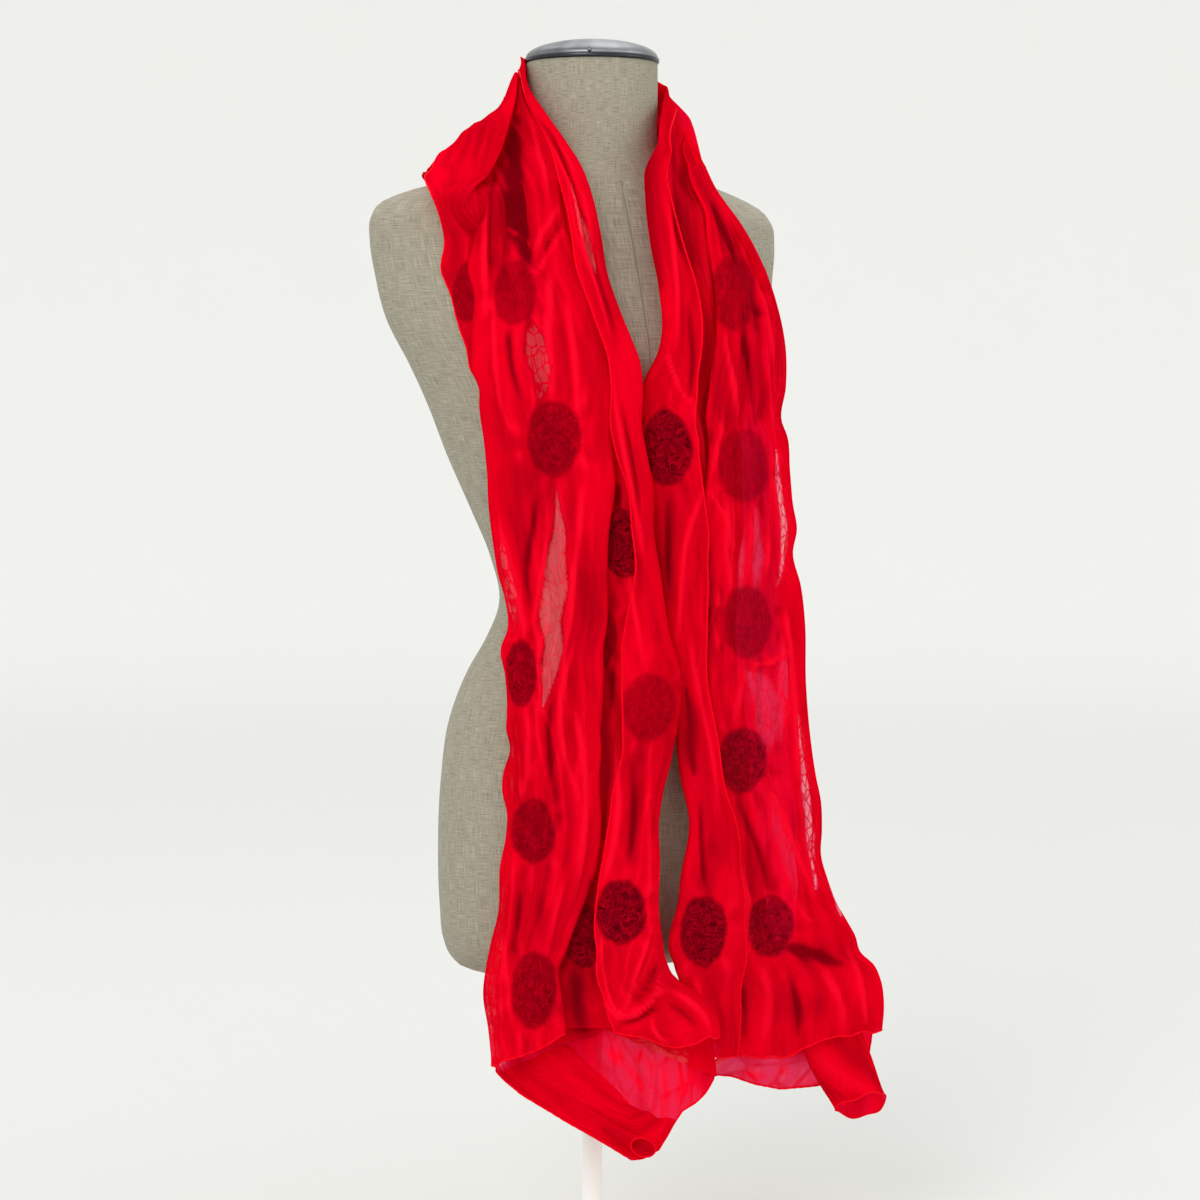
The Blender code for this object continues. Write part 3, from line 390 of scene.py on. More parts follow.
# Reads a grid between its rows and columns, in proportion to how near each is.
def sample(values, row, column):
    row = np.clip(row, 0, values.shape[0] - 1.001)
    column = np.clip(column, 0, values.shape[1] - 1.001)
    i, j = row.astype(int), column.astype(int)
    shape = i.shape + (1,) * (values.ndim - 2)
    fr, fc = (row - i).reshape(shape), (column - j).reshape(shape)
    upper = values[i, j] * (1 - fc) + values[i, j + 1] * fc
    lower = values[i + 1, j] * (1 - fc) + values[i + 1, j + 1] * fc
    return upper * (1 - fr) + lower * fr


# Reads a table of the cloth's reach at places across and heights.
def readTable(values, across, height):
    return sample(values, (hang["top"] - height) / hang["down"], (across - hang["left"]) / hang["across"])


# How far forward the cloth lies, a distance away from the form.
def reachAt(across, height, away):
    return readTable(reachForward, across, height) + away * readTable(reachSteep, across, height)


# The height of the form's shoulders straight under or over each plan point, and well below them outside.
def shoulderAt(x, y):
    heights = np.arange(hang["top"], hang["shoulderLow"], -hang["shoulderStep"])
    form = table(formColumns, formSections)
    size = {name: through(-form["height"], form[name], -heights)[:, None] for name in formColumns[1:]}
    depth = y[None, :] + size["forward"]
    half = np.where(depth > 0, size["back"], size["front"])
    power = size["square"]
    spread = (np.abs(x[None, :]) / size["halfWidth"]) ** power + (np.abs(depth) / half) ** power
    inside = spread <= 1
    first = np.where(inside.any(axis=0), inside.argmax(axis=0), len(heights) - 1)
    before = np.maximum(first - 1, 0)
    column = np.arange(len(x))
    low, high = spread[first, column], spread[before, column]
    way = np.clip((high - 1) / np.maximum(high - low, 1e-6), 0, 1)
    found = heights[before] + (heights[first] - heights[before]) * way
    return np.where(inside.any(axis=0), found, 0.0)


# Lifts a section's points where they would be too near the form's shoulders.
def overShoulder(section, up, gap):
    plan = toWorld(section)
    least = shoulderAt(plan[:, 0], plan[:, 1]) + clearOfShoulder + np.maximum(up, 0) * gap
    section[:, 2] = np.maximum(section[:, 2], least)
    return section


# How far a turn at line k reaches into its sheets: half the space between their levels, or leastTurn.
def turnSize(level, k, gap):
    return max(leastTurn, abs(level[k] - level[k - 1]) * gap / 2)


# The sheets' levels in one row. over moves the outer flap from behind the front panel to in front.
def levelsFor(over):
    level = [restLevel[name] for name in sheets]
    for k, name in enumerate(("ab", "bc")):
        away = overLevel[name] - restLevel["cd"] if over > 0 else restLevel["cd"] - restLevel[name]
        level[k] = restLevel["cd"] + over * away
    return level


# The sections over the shoulders and round the back of the neck: the zigzag laid along the straight line from
# the inner to the outer edge, less a dip in the shape of half a sine wave.
def crestSections():
    found = []
    for row in crests:
        r = dict(zip(crestColumns, row))
        inner = np.array([r["inX"], r["inY"], r["inZ"]], float)
        outer = np.array([r["outX"], r["outY"], r["outZ"]], float)
        length = np.linalg.norm(outer - inner)
        along = (outer - inner) / length
        lift = np.array([0.0, 0.0, 1.0]) - along[2] * along
        lift /= np.linalg.norm(lift)
        place = [r[name] * length for name in lines]
        across, up, _, _ = zigzag(place, levelsFor(r["over"]), r["gap"])
        dip = r["dip"] * np.sin(np.pi * np.clip(across / length, 0, 1) ** 0.6)
        section = inner + across[:, None] * along + (up * r["gap"] - dip)[:, None] * lift
        found.append(overShoulder(section, up, r["gap"]))
    return found


# How far forward a stretch's inner part is moved at each place across: half a cosine wave away from line f.
def shiftAt(across, place, shift):
    away = np.minimum(np.abs(across - place[lines.index("f")]), shiftFade) / shiftFade
    return shift * (1 + np.cos(np.pi * away)) / 2


# The sections down the front of one stretch, top first, and its hem: the zigzag laid on the cloth's reach,
# which fades to the crest's section where the cloth comes over the shoulder.
def frontSections(rows, crest, hem):
    found = []
    for row in rows:
        r = dict(zip(rowColumns, row))
        place = [r[name] for name in lines]
        across, up, sheetOf, share = zigzag(place, levelsFor(r["over"]), r["gap"])
        inwards = np.clip((across - r["a"]) / (r["f"] - r["a"]), 0, 1)
        height = r["outer"] + (r["inner"] - r["outer"]) * inwards
        wrap = r["wrapOut"] + (r["wrapIn"] - r["wrapOut"]) * inwards
        panel = sheetOf == sheets.index("cd")
        free = (r["e"] - r["c"]) / (r["d"] - r["c"])
        sunk = r["hollow"] * np.sin(np.pi * np.clip(share / free / hollowEnd, 0, 1)) ** 2
        up = up - np.where(panel, sunk, 0)
        chest = reachAt(across, height, clearOfForm + up * r["gap"])
        forward = chest * wrap + crest[:, 1] * (1 - wrap) + shiftAt(across, place, r["shift"])
        height = height + (1 - wrap) * up * r["gap"]
        section = np.stack([across, forward, height], axis=1)
        if r["wrapOut"] < 1:
            section = overShoulder(section, up, r["gap"])
        found.append(section)
    gap = rows[-1][rowColumns.index("gap")]
    place = [hem["across"][name] for name in lines]
    across, up, sheetOf, share = zigzag(place, levelsFor(-1.0), gap)
    ends = np.array([hem["height"][name] for name in lines], float)
    sag = np.array([hem["sag"][name] for name in sheets], float)
    peak = np.array([hem["peak"][name] for name in sheets])[sheetOf]
    t = np.clip(share, 0, 1)
    bulge = np.minimum(t / peak, (1 - t) / (1 - peak))
    height = ends[sheetOf] * (1 - t) + ends[sheetOf + 1] * t - sag[sheetOf] * bulge
    forward = reachAt(across, height, clearOfForm + up * gap) + shiftAt(across, place, hem["shift"])
    found.append(np.stack([across, forward, height], axis=1))
    return found


# The felt dots: the stretch and sheet each lies on, its place in the picture and half its width and height
# there, in pixels, and how thin its wool is, 0 being opaque
dotColumns = ("stretch", "sheet", "x", "y", "halfWidth", "halfHeight", "thin")
dots = (
    ("left", "cd", 554, 438, 31, 41, 0.46),
    ("left", "cd", 515, 293, 24, 36, 0.62),
    ("left", "ab", 468, 293, 17, 33, 0.55),
    ("left", "bc", 524, 526, 18, 34, 0.2),
    ("left", "ef", 623, 543, 27, 38, 0.0),
    ("left", "cd", 521, 673, 18, 36, 0.3),
    ("left", "ef", 596, 636, 24, 36, 0.4),
    ("left", "fg", 648, 707, 30, 37, 0.58),
    ("left", "cd", 533, 831, 24, 36, 0.38),
    ("left", "fg", 621, 912, 27, 36, 0.0),
    ("left", "ef", 584, 936, 22, 36, 0.1),
    ("left", "cd", 534, 990, 25, 43, 0.4),
    ("right", "fg", 667, 448, 27, 42, 0.0),
    ("right", "cd", 743, 466, 28, 41, 0.62),
    ("right", "cd", 733, 294, 25, 41, 0.58),
    ("right", "cd", 747, 622, 27, 40, 0.54),
    ("right", "de", 708, 600, 15, 32, 0.3),
    ("right", "cd", 742, 760, 28, 35, 0.3),
    ("right", "fg", 703, 931, 26, 38, 0.12),
    ("right", "cd", 770, 926, 26, 34, 0.25),
    ("right", "ab", 824, 948, 22, 32, 0.1),
)


# The rows of the whole scarf, from the left hem over the neck to the right hem, as a smooth curve through the
# sections, with rows about rowStep apart. Also gives the first and last row of each stretch.
def scarfGrid():
    crest = crestSections()
    left = frontSections(leftRows, crest[0], leftHem)
    right = frontSections(rightRows, crest[-1], rightHem)
    rows = np.array(left[::-1] + crest + right)
    step = np.linalg.norm(np.diff(rows, axis=0), axis=-1).mean(axis=1)
    at = [0.0]
    for i, length in enumerate(step):
        count = max(2, int(np.ceil(length / fine["rowStep"])))
        at.extend(i + (j + 1) / count for j in range(count))
    grid = through(np.arange(len(rows)), rows, at)
    leftTop, rightTop = at.index(len(left)), at.index(len(left) + len(crest) - 1)
    return grid, {"left": (0, leftTop), "neck": (leftTop, rightTop), "right": (rightTop, len(grid) - 1)}


# The direction of a grid along one axis: the mean of the unit steps before and after each point.
def bisector(grid, axis):
    step = np.moveaxis(np.diff(grid, axis=axis), axis, 0)
    step = step / np.maximum(np.linalg.norm(step, axis=-1, keepdims=True), 1e-9)
    mean = np.concatenate([step[:1], step[1:] + step[:-1], step[-1:]])
    return np.moveaxis(mean, 0, axis)


# Unit normals: the cross product of the grid's two directions.
def normalsOf(grid):
    normal = np.cross(bisector(grid, 0), bisector(grid, 1))
    return normal / np.maximum(np.linalg.norm(normal, axis=-1, keepdims=True), 1e-9)


# How far each point lies along its row and down its column, over the cloth.
def runsOf(grid):
    over = np.zeros(grid.shape[:2])
    over[:, 1:] = np.cumsum(np.linalg.norm(np.diff(grid, axis=1), axis=-1), axis=1)
    down = np.zeros(grid.shape[:2])
    down[1:] = np.cumsum(np.linalg.norm(np.diff(grid, axis=0), axis=-1), axis=0)
    return over, down


# The first and last column of a sheet.
def sheetColumns(name):
    before = sheets[: sheets.index(name)]
    start = sum(fine["sheetPoints"][sheet] + fine["turnPoints"] for sheet in before)
    return start, start + fine["sheetPoints"][name] - 1


# A sheet's columns with the near half of each turn beside it.
def withTurns(name):
    start, end = sheetColumns(name)
    half = fine["turnPoints"] // 2
    return slice(max(start - half, 0), end + half + 1)


# A mesh object from a grid of points in metres: quads between neighbouring rows and columns, smooth. uv gives
# each point's place in metres of cloth. The columns may close into a ring.
def addSurface(name, points, uv=None, closedColumns=False, flip=False):
    rows, columns = points.shape[:2]
    index = np.arange(rows * columns).reshape(rows, columns)
    if closedColumns:
        index = np.hstack([index, index[:, :1]])
    corners = [index[:-1, :-1], index[:-1, 1:], index[1:, 1:], index[1:, :-1]]
    quads = np.stack(corners, axis=-1).reshape(-1, 4)
    if flip:
        quads = quads[:, ::-1]
    mesh = bpy.data.meshes.new(name)
    mesh.vertices.add(rows * columns)
    mesh.vertices.foreach_set("co", np.ascontiguousarray(points, np.float32).ravel())
    mesh.loops.add(quads.size)
    mesh.loops.foreach_set("vertex_index", quads.ravel().astype(np.int32))
    mesh.polygons.add(len(quads))
    mesh.polygons.foreach_set("loop_start", np.arange(len(quads), dtype=np.int32) * 4)
    mesh.update(calc_edges=True)
    mesh.validate()
    if uv is not None:
        layer = mesh.uv_layers.new(name="cloth")
        layer.data.foreach_set("uv", uv.reshape(-1, 2)[quads.ravel()].astype(np.float32).ravel())
    mesh.shade_smooth()
    thing = bpy.data.objects.new(name, mesh)
    bpy.context.scene.collection.objects.link(thing)
    return thing


# One number for each point of a mesh.
def addAttribute(thing, name, values):
    layer = thing.data.attributes.new(name, "FLOAT", "POINT")
    layer.data.foreach_set("value", np.ascontiguousarray(values, np.float32).ravel())


# How far along a path each of its points lies: the sum of the steps before it.
def runAlong(path):
    return np.concatenate([[0], np.cumsum(np.linalg.norm(np.diff(path, axis=0), axis=-1))])


# A profile of radius and height turned round the upright axis.
def turnedProfile(profile, count):
    radius, height = profile[:, :1], profile[:, 1:]
    turn = angles(count)
    return np.stack(np.broadcast_arrays(radius * np.cos(turn), radius * np.sin(turn), height), axis=-1)


# leaning is a direction that the cords don't run along, and turn the metres of cloth for a radian round them
cord = {"sides": 8, "leaning": (0.31, 0.84, 0.44), "turn": 0.001}


# A round cord carried along a path: a ring of points in the plane of the path's two normals at each step.
def addCordAlong(name, path, radius):
    along = bisector(path[:, None, :], 0)[:, 0]
    along /= np.linalg.norm(along, axis=-1, keepdims=True)
    side = np.cross(along, np.array(cord["leaning"]))
    side /= np.linalg.norm(side, axis=-1, keepdims=True)
    other = np.cross(along, side)
    turn = angles(cord["sides"])
    ring = side[:, None] * np.cos(turn)[None, :, None] + other[:, None] * np.sin(turn)[None, :, None]
    radius = np.broadcast_to(np.asarray(radius, float), (len(path),))[:, None, None]
    points = path[:, None] + ring * radius
    uv = np.stack(np.broadcast_arrays(turn[None, :] * cord["turn"], runAlong(path)[:, None]), axis=-1)
    return addSurface(name, points, uv, closedColumns=True, flip=True)


# sRGB hex to linear colour.
def colour(hexValue):
    value = np.array([int(hexValue[i : i + 2], 16) for i in (0, 2, 4)]) / 255
    linear = np.where(value <= 0.04045, value / 12.92, ((value + 0.055) / 1.055) ** 2.4)
    return (*map(float, linear), 1.0)


# A node with its own options, its inputs as values or as other nodes' outputs. Gives the output asked for.
def addNode(tree, kind, inputs=None, output=0, **options):
    node = tree.nodes.new("ShaderNode" + kind)
    for name, value in options.items():
        setattr(node, name, value)
    for name, value in (inputs or {}).items():
        if isinstance(value, bpy.types.NodeSocket):
            tree.links.new(value, node.inputs[name])
        else:
            node.inputs[name].default_value = value
    return node.outputs[output] if node.outputs else None


blend = {"output": 2, "data_type": "RGBA"}  # a blend of two colours, its inputs 6 and 7, by input 0


# An empty material, and addNode bound to it.
def newMaterial(name):
    material = bpy.data.materials.new(name)
    material.use_nodes = True
    material.node_tree.nodes.clear()
    return material, partial(addNode, material.node_tree)


chiffon = {
    "thread": "f20022",  # scarlet dye on silk
    # painted shade, in the fine folds of the noise and in broad patches
    "deep": "bc0019",
    # painted highlight laid along ridges
    "ridgeHighlight": "ff0a2c",
    "veil": "fc5c68",  # one thin layer, its threads apart, so that it looks pink
    # painted shade laid in troughs and hollows
    "troughShade": "760010",
    "glow": "ff0022",  # the dye seen with light behind it
    "dense": (1.0, 0.01, 0.1, 1.0),  # what passes straight through where it is gathered
    "through": (1.0, 0.08, 0.24, 1.0),  # and where it is spread flat
    "gathered": 0.88,  # share that is thread where the cloth is drawn together in gathers too fine to model
    "spread": 0.58,  # and where it is spread flat
    "crinkleAcross": 2.4,  # mm between the lengthwise crinkles
    "crinkleAlong": 30.0,
    "crackleAcross": 5.0,  # mm between the fine creases that net it where it is spread flat
    "crackleAlong": 12.0,
    "crackleDraw": 0.4,  # how far those creases draw it together
    "crackleThick": 0.22,  # and the share of thread that they add
    "throughShare": 0.27,  # share of the light on a thread that comes out on its other side
}


# Silk chiffon, piece dyed and crinkled lengthwise: fine matt threads with gaps between them, so that light
# passes. The attributes say where it is spread flat, where painted highlight lies along ridges and where
# painted shade lies in troughs and hollows; noise paints more shade into its fine folds and broad patches.
def chiffonMaterial():
    material, add = newMaterial("crinkled silk chiffon")
    place = add("UVMap", uv_map="cloth")
    spread = add("Attribute", output="Fac", attribute_name="spread")
    relief = add("Attribute", output="Fac", attribute_name="relief")
    bend = add("TexNoise", {"Vector": place, "Scale": 22.0, "Detail": 2.0}, output="Color")
    bend = add("VectorMath", {0: bend, 1: (0.012, 0.012, 0.0)}, operation="MULTIPLY")
    bent = add("VectorMath", {0: place, 1: bend}, operation="ADD")
    crinkleScale = (1000 / chiffon["crinkleAcross"], 1000 / chiffon["crinkleAlong"], 1)
    stretch = add("Mapping", {"Vector": bent, "Scale": crinkleScale})
    crinkle = add("TexNoise", {"Vector": stretch, "Scale": 1.0, "Detail": 3.0, "Roughness": 0.6})
    broad = add("Mapping", {"Vector": bent, "Scale": (95, 11, 1)})
    fold = add("TexNoise", {"Vector": broad, "Scale": 1.0, "Detail": 3.0, "Distortion": 0.6})
    height = add("Math", {0: fold, 1: 1.6, 2: crinkle}, operation="MULTIPLY_ADD")
    bump = add("Bump", {"Height": height, "Strength": 0.6, "Distance": 0.0022})
    # painted shade: the deep colour darkens the fine folds of the noise that also bumps it, and broad random
    # patches
    soft = add("MapRange", {"Value": fold, "From Min": 0.3, "From Max": 0.7})
    patches = add("Mapping", {"Vector": bent, "Scale": (26, 9, 1)})
    patches = add("TexNoise", {"Vector": patches, "Scale": 1.0, "Detail": 3.0})
    paintedShade = add("MapRange", {"Value": patches, "From Min": 0.38, "From Max": 0.66})
    soft = add("Math", {0: soft, 1: paintedShade}, operation="ADD")
    soft = add("MapRange", {"Value": soft, "From Min": 0.1, "From Max": 1.3})
    tint = add("Mix", {0: soft, 6: colour(chiffon["deep"]), 7: colour(chiffon["thread"])}, **blend)
    # painted shade in troughs and hollows and painted highlight on ridges, from the relief attribute
    low = add("MapRange", {"Value": relief, "From Max": -1.0})
    high = add("MapRange", {"Value": relief, "From Min": 0.12, "From Max": 0.8})
    tint = add("Mix", {0: low, 6: tint, 7: colour(chiffon["troughShade"])}, **blend)
    tint = add("Mix", {0: high, 6: tint, 7: colour(chiffon["ridgeHighlight"])}, **blend)
    crackleScale = (1000 / chiffon["crackleAcross"], 1000 / chiffon["crackleAlong"], 1)
    cells = add("Mapping", {"Vector": bent, "Scale": crackleScale})
    edge = add("TexVoronoi", {"Vector": cells, "Scale": 1.0}, feature="DISTANCE_TO_EDGE")
    crackle = add(
        "MapRange", {"Value": edge, "From Max": 0.13, "To Min": 1.0, "To Max": 0.0}
    )
    uneven = add("Math", {0: crinkle, 1: 0.5, 2: spread}, operation="MULTIPLY_ADD")
    uneven = add("Math", {0: crackle, 1: -chiffon["crackleDraw"], 2: uneven}, operation="MULTIPLY_ADD")
    thin = add("MapRange", {"Value": uneven, "From Min": 1.25, "From Max": 1.95})
    tint = add("Mix", {0: thin, 6: tint, 7: colour(chiffon["veil"])}, **blend)
    face = add(
        "BsdfPrincipled",
        {
            "Base Color": tint, "Roughness": 0.6, "Specular IOR Level": 0.0, "Sheen Weight": 0.02,
            "Sheen Roughness": 0.4, "Sheen Tint": (1.0, 0.02, 0.08, 1.0), "Normal": bump,
        },
    )
    glow = add("BsdfTranslucent", {"Color": colour(chiffon["glow"]), "Normal": bump})
    thread = add("MixShader", {0: chiffon["throughShare"], 1: face, 2: glow})
    none = add("MapRange", {"Value": spread, "From Min": 1.7, "From Max": 2.0})
    flat = add("MapRange", {"Value": spread})
    clear = add("Mix", {0: flat, 6: chiffon["dense"], 7: chiffon["through"]}, **blend)
    clear = add("Mix", {0: thin, 6: clear, 7: (1.0, 1.0, 1.0, 1.0)}, **blend)
    gap = add("BsdfTransparent", {"Color": clear})
    cover = add("MapRange", {"Value": spread, "To Min": chiffon["gathered"], "To Max": chiffon["spread"]})
    strand = add(
        "MapRange", {"Value": crinkle, "From Min": 0.35, "From Max": 0.65, "To Min": -0.05, "To Max": 0.05}
    )
    cover = add("Math", {0: cover, 1: strand}, operation="ADD")
    drawnUp = add("Math", {0: crackle, 1: flat}, operation="MULTIPLY")
    cover = add("Math", {0: drawnUp, 1: chiffon["crackleThick"], 2: cover}, operation="MULTIPLY_ADD")
    creased = add("Math", {0: relief}, operation="ABSOLUTE")
    cover = add("Math", {0: creased, 1: 0.35, 2: cover}, operation="MULTIPLY_ADD", use_clamp=True)
    some = add("Math", {0: 1.0, 1: none}, operation="SUBTRACT")
    cover = add("Math", {0: cover, 1: some}, operation="MULTIPLY")
    sheer = add("MixShader", {0: cover, 1: gap, 2: thread})
    add("OutputMaterial", {"Surface": sheer})
    return material


rolledHem = {
    "light": "f40822",
    "dark": "d80016",
    "radius": 0.85,  # mm
    "wave": 0.15,  # mm more and less
    "every": 9.0,  # mm from wave to wave
    "mouthRadius": 0.75,  # round the curled corner and the rolled tip
}


# The hem: the same silk rolled over itself three or four times, so it is nearly opaque.
def hemMaterial():
    material, add = newMaterial("rolled silk hem")
    place = add("UVMap", uv_map="cloth")
    twist = add("TexNoise", {"Vector": place, "Scale": 420.0, "Detail": 2.0})
    tint = add("Mix", {0: twist, 6: colour(rolledHem["light"]), 7: colour(rolledHem["dark"])}, **blend)
    bump = add("Bump", {"Height": twist, "Strength": 0.5, "Distance": 0.0008})
    face = add(
        "BsdfPrincipled",
        {
            "Base Color": tint, "Roughness": 0.6, "Specular IOR Level": 0.02,
            "Specular Tint": (1.0, 0.02, 0.08, 1.0), "Normal": bump,
        },
    )
    add("OutputMaterial", {"Surface": face})
    return material


felt = {
    "wool": "6e0010",
    "light": "b6001a",
    "dark": "3e0009",
    "rise": 0.7,  # mm off the silk
    "rim": 0.25,  # and at the rim
    "rings": 18,
    "spokes": 64,
    "edge": 0.06,  # how uneven the outline is, as a share of the dot
    "fray": 0.25,  # the share of its radius over which the wool thins out
    "pixel": 0.85,  # mm of wool to a pixel of the picture
}


# Wet felted wool: matted fibres that scatter light. The wool thins out into the silk round its rim.
def feltMaterial():
    material, add = newMaterial("wet felted wool")
    place = add("UVMap", uv_map="cloth")
    warp = add("TexNoise", {"Vector": place, "Scale": 90.0, "Detail": 2.0}, output="Color")
    warp = add("VectorMath", {0: warp, 1: (0.018, 0.018, 0.0)}, operation="MULTIPLY")
    bent = add("VectorMath", {0: place, 1: warp}, operation="ADD")
    one = add("Mapping", {"Vector": bent, "Scale": (520, 130, 1), "Rotation": (0, 0, 0.6)})
    two = add("Mapping", {"Vector": bent, "Scale": (130, 480, 1), "Rotation": (0, 0, 0.3)})
    first = add("TexNoise", {"Vector": one, "Scale": 1.0, "Detail": 3.0})
    second = add("TexNoise", {"Vector": two, "Scale": 1.0, "Detail": 3.0})
    fibre = add("Math", {0: first, 1: second}, operation="MAXIMUM")
    clump = add("TexNoise", {"Vector": place, "Scale": 75.0, "Detail": 4.0})
    strong = add("MapRange", {"Value": fibre, "From Min": 0.45, "From Max": 0.68})
    patchy = add("MapRange", {"Value": clump, "From Min": 0.32, "From Max": 0.68})
    shade = add("Mix", {0: strong, 6: colour(felt["dark"]), 7: colour(felt["light"])}, **blend)
    mixed = add("Math", {0: patchy, 1: 0.55}, operation="MULTIPLY")
    shade = add("Mix", {0: mixed, 6: shade, 7: colour(felt["wool"])}, **blend)
    bump = add("Bump", {"Height": fibre, "Strength": 0.5, "Distance": 0.0009})
    face = add(
        "BsdfPrincipled",
        {
            "Base Color": shade, "Roughness": 0.95, "Specular IOR Level": 0.04,
            "Specular Tint": (1.0, 0.02, 0.08, 1.0), "Sheen Weight": 0.06, "Sheen Roughness": 0.55,
            "Sheen Tint": (1.0, 0.01, 0.1, 1.0), "Normal": bump,
        },
    )
    rim = add("Attribute", output="Fac", attribute_name="rim")
    thin = add("Attribute", output="Fac", attribute_name="thin")
    edge = add(
        "MapRange",
        {"Value": rim, "From Min": 1 - felt["fray"], "To Min": -0.1, "To Max": 0.66},
    )
    woolly = add("Math", {0: fibre, 1: edge}, operation="SUBTRACT")
    cover = add("MapRange", {"Value": woolly, "From Max": 0.4})
    full = add("Math", {0: thin, 1: -1.0, 2: 1.0}, operation="MULTIPLY_ADD")
    patch = add("MapRange", {"Value": strong, "To Min": 1.0, "To Max": 0.72})
    full = add("Math", {0: full, 1: patch}, operation="MULTIPLY")
    cover = add("Math", {0: cover, 1: full}, operation="MULTIPLY")
    gap = add("BsdfTransparent")
    soft = add("MixShader", {0: cover, 1: gap, 2: face})
    add("OutputMaterial", {"Surface": soft})
    return material


linen = {
    "flax": "ada796",
    "shadow": "777261",
    "seam": "6c6856",
    "thread": 1.1,  # mm, coarser than the real 0.6 so that the weave shows
    "ringPoints": 144,
    "ringStep": 5.0,
    "seamDepth": 0.9,
    "seamTurns": (0.0333, 0.25, 0.4667, 0.75),  # shares of the turn: a side, the back, a side, the front
    "seamHeight": 962.0,  # of the seam round the neck, where the others end
    "girth": 0.8,  # m of linen round the form
    "bottom": (0.06, 0.3, 0.7, 0.98),  # how far in towards the middle each ring of the underside is
    "bottomRun": (800, 810, 820, 830),  # and how far down the linen it lies, in mm
    "neckTop": (0.98, 0.5, 0.05),
}


# Unbleached plain weave linen, slubby and matt, stretched over the form.
def linenMaterial():
    material, add = newMaterial("unbleached linen weave")
    place = add("UVMap", uv_map="cloth")
    x, y, _ = add("SeparateXYZ", {"Vector": place}).node.outputs
    pitch = 1000 / linen["thread"] * 2 * np.pi
    slub = add("Mapping", {"Vector": place, "Scale": (60, 1500, 1)})
    warpSlub = add("Mapping", {"Vector": place, "Scale": (1500, 60, 1)})
    across = add("TexNoise", {"Vector": slub, "Scale": 1.0, "Detail": 2.0})
    along = add("TexNoise", {"Vector": warpSlub, "Scale": 1.0, "Detail": 2.0})
    waves = []
    for socket in (x, y):
        turned = add("Math", {0: socket, 1: pitch}, operation="MULTIPLY")
        waves.append(add("Math", {0: turned}, operation="SINE"))
    weave = add("Math", {0: waves[0], 1: waves[1]}, operation="MULTIPLY")
    yarn = add("Math", {0: across, 1: along}, operation="ADD")
    height = add("Math", {0: weave, 1: 0.12, 2: yarn}, operation="MULTIPLY_ADD")
    mottled = add("MapRange", {"Value": height, "From Min": 0.7, "From Max": 1.35})
    tint = add("Mix", {0: mottled, 6: colour(linen["shadow"]), 7: colour(linen["flax"])}, **blend)
    line = add("Attribute", output="Fac", attribute_name="seam")
    tight = add("MapRange", {"Value": line, "From Min": 0.84, "To Max": 0.85})
    tint = add("Mix", {0: tight, 6: tint, 7: colour(linen["seam"])}, **blend)
    bump = add("Bump", {"Height": height, "Strength": 0.35, "Distance": 0.0006})
    face = add(
        "BsdfPrincipled",
        {
            "Base Color": tint, "Roughness": 0.9, "Specular IOR Level": 0.2, "Sheen Weight": 0.08,
            "Normal": bump,
        },
    )
    add("OutputMaterial", {"Surface": face})
    return material


cap = {
    "radius": 58.5,  # mm
    "low": 1066.3,
    "rim": 4.0,
    "rimProfile": (
        (0.02, 0.0), (40, 0.0), (57, 0.0), (58.1, 0.3), (58.5, 1.0), (58.5, 2.6), (58.2, 3.5), (57.4, 4.0),
    ),
    "groove": 0.4,
    "domeInset": 1.2,
    "middle": 0.02,  # the radius of the dome's topmost ring
    "rise": 20.0,
    "segments": 128,
    "metal": "55585b",
    "paintedGlint": "94979a",
    "rimShade": "3c3f42",
    "lock": {"radius": 1.8, "place": (-2.0, 57.0, 1072.6), "points": 24},
}


# Spun steel with a brushed finish: rings of fine scratches round the dome, and bright reflections painted in
# wedges round its axis.
def steelMaterial():
    material, add = newMaterial("spun brushed steel")
    place = add("TexCoord", output="Object")
    x, y, z = add("SeparateXYZ", {"Vector": place}).node.outputs
    flat = add("CombineXYZ", {"X": x, "Y": y})
    radius = add("VectorMath", {0: flat}, output="Value", operation="LENGTH")
    grooves = add("Math", {0: radius, 1: 1600.0}, operation="MULTIPLY")
    ring = add("TexNoise", {"W": grooves, "Scale": 1.0, "Detail": 3.0}, noise_dimensions="1D")
    # painted reflection: lighter wedges round the axis stand in for the studio's reflections
    angle = add("Math", {0: y, 1: x}, operation="ARCTAN2")
    outwards = add("Math", {0: radius, 1: 6.0}, operation="MULTIPLY")
    wedge = add("CombineXYZ", {"X": angle, "Y": outwards})
    glintWedges = add("TexNoise", {"Vector": wedge, "Scale": 1.3, "Detail": 2.0})
    glintWedges = add("MapRange", {"Value": glintWedges, "From Min": 0.35, "From Max": 0.65})
    tint = add("Mix", {0: glintWedges, 6: colour(cap["metal"]), 7: colour(cap["paintedGlint"])}, **blend)
    rimTop = cap["low"] + cap["rim"]
    under = add("MapRange", {"Value": z, "From Min": (rimTop + 0.2) * mm, "From Max": (rimTop - 0.2) * mm})
    tint = add("Mix", {0: under, 6: tint, 7: colour(cap["rimShade"])}, **blend)
    rough = add("MapRange", {"Value": ring, "From Min": 0.3, "From Max": 0.7, "To Min": 0.3, "To Max": 0.44})
    bump = add("Bump", {"Height": ring, "Strength": 0.12, "Distance": 0.0003})
    face = add("BsdfPrincipled", {"Base Color": tint, "Metallic": 1.0, "Roughness": rough, "Normal": bump})
    add("OutputMaterial", {"Surface": face})
    return material


stand = {"paint": "f3f2ef", "dust": "e9e8e4", "grain": 2.0}


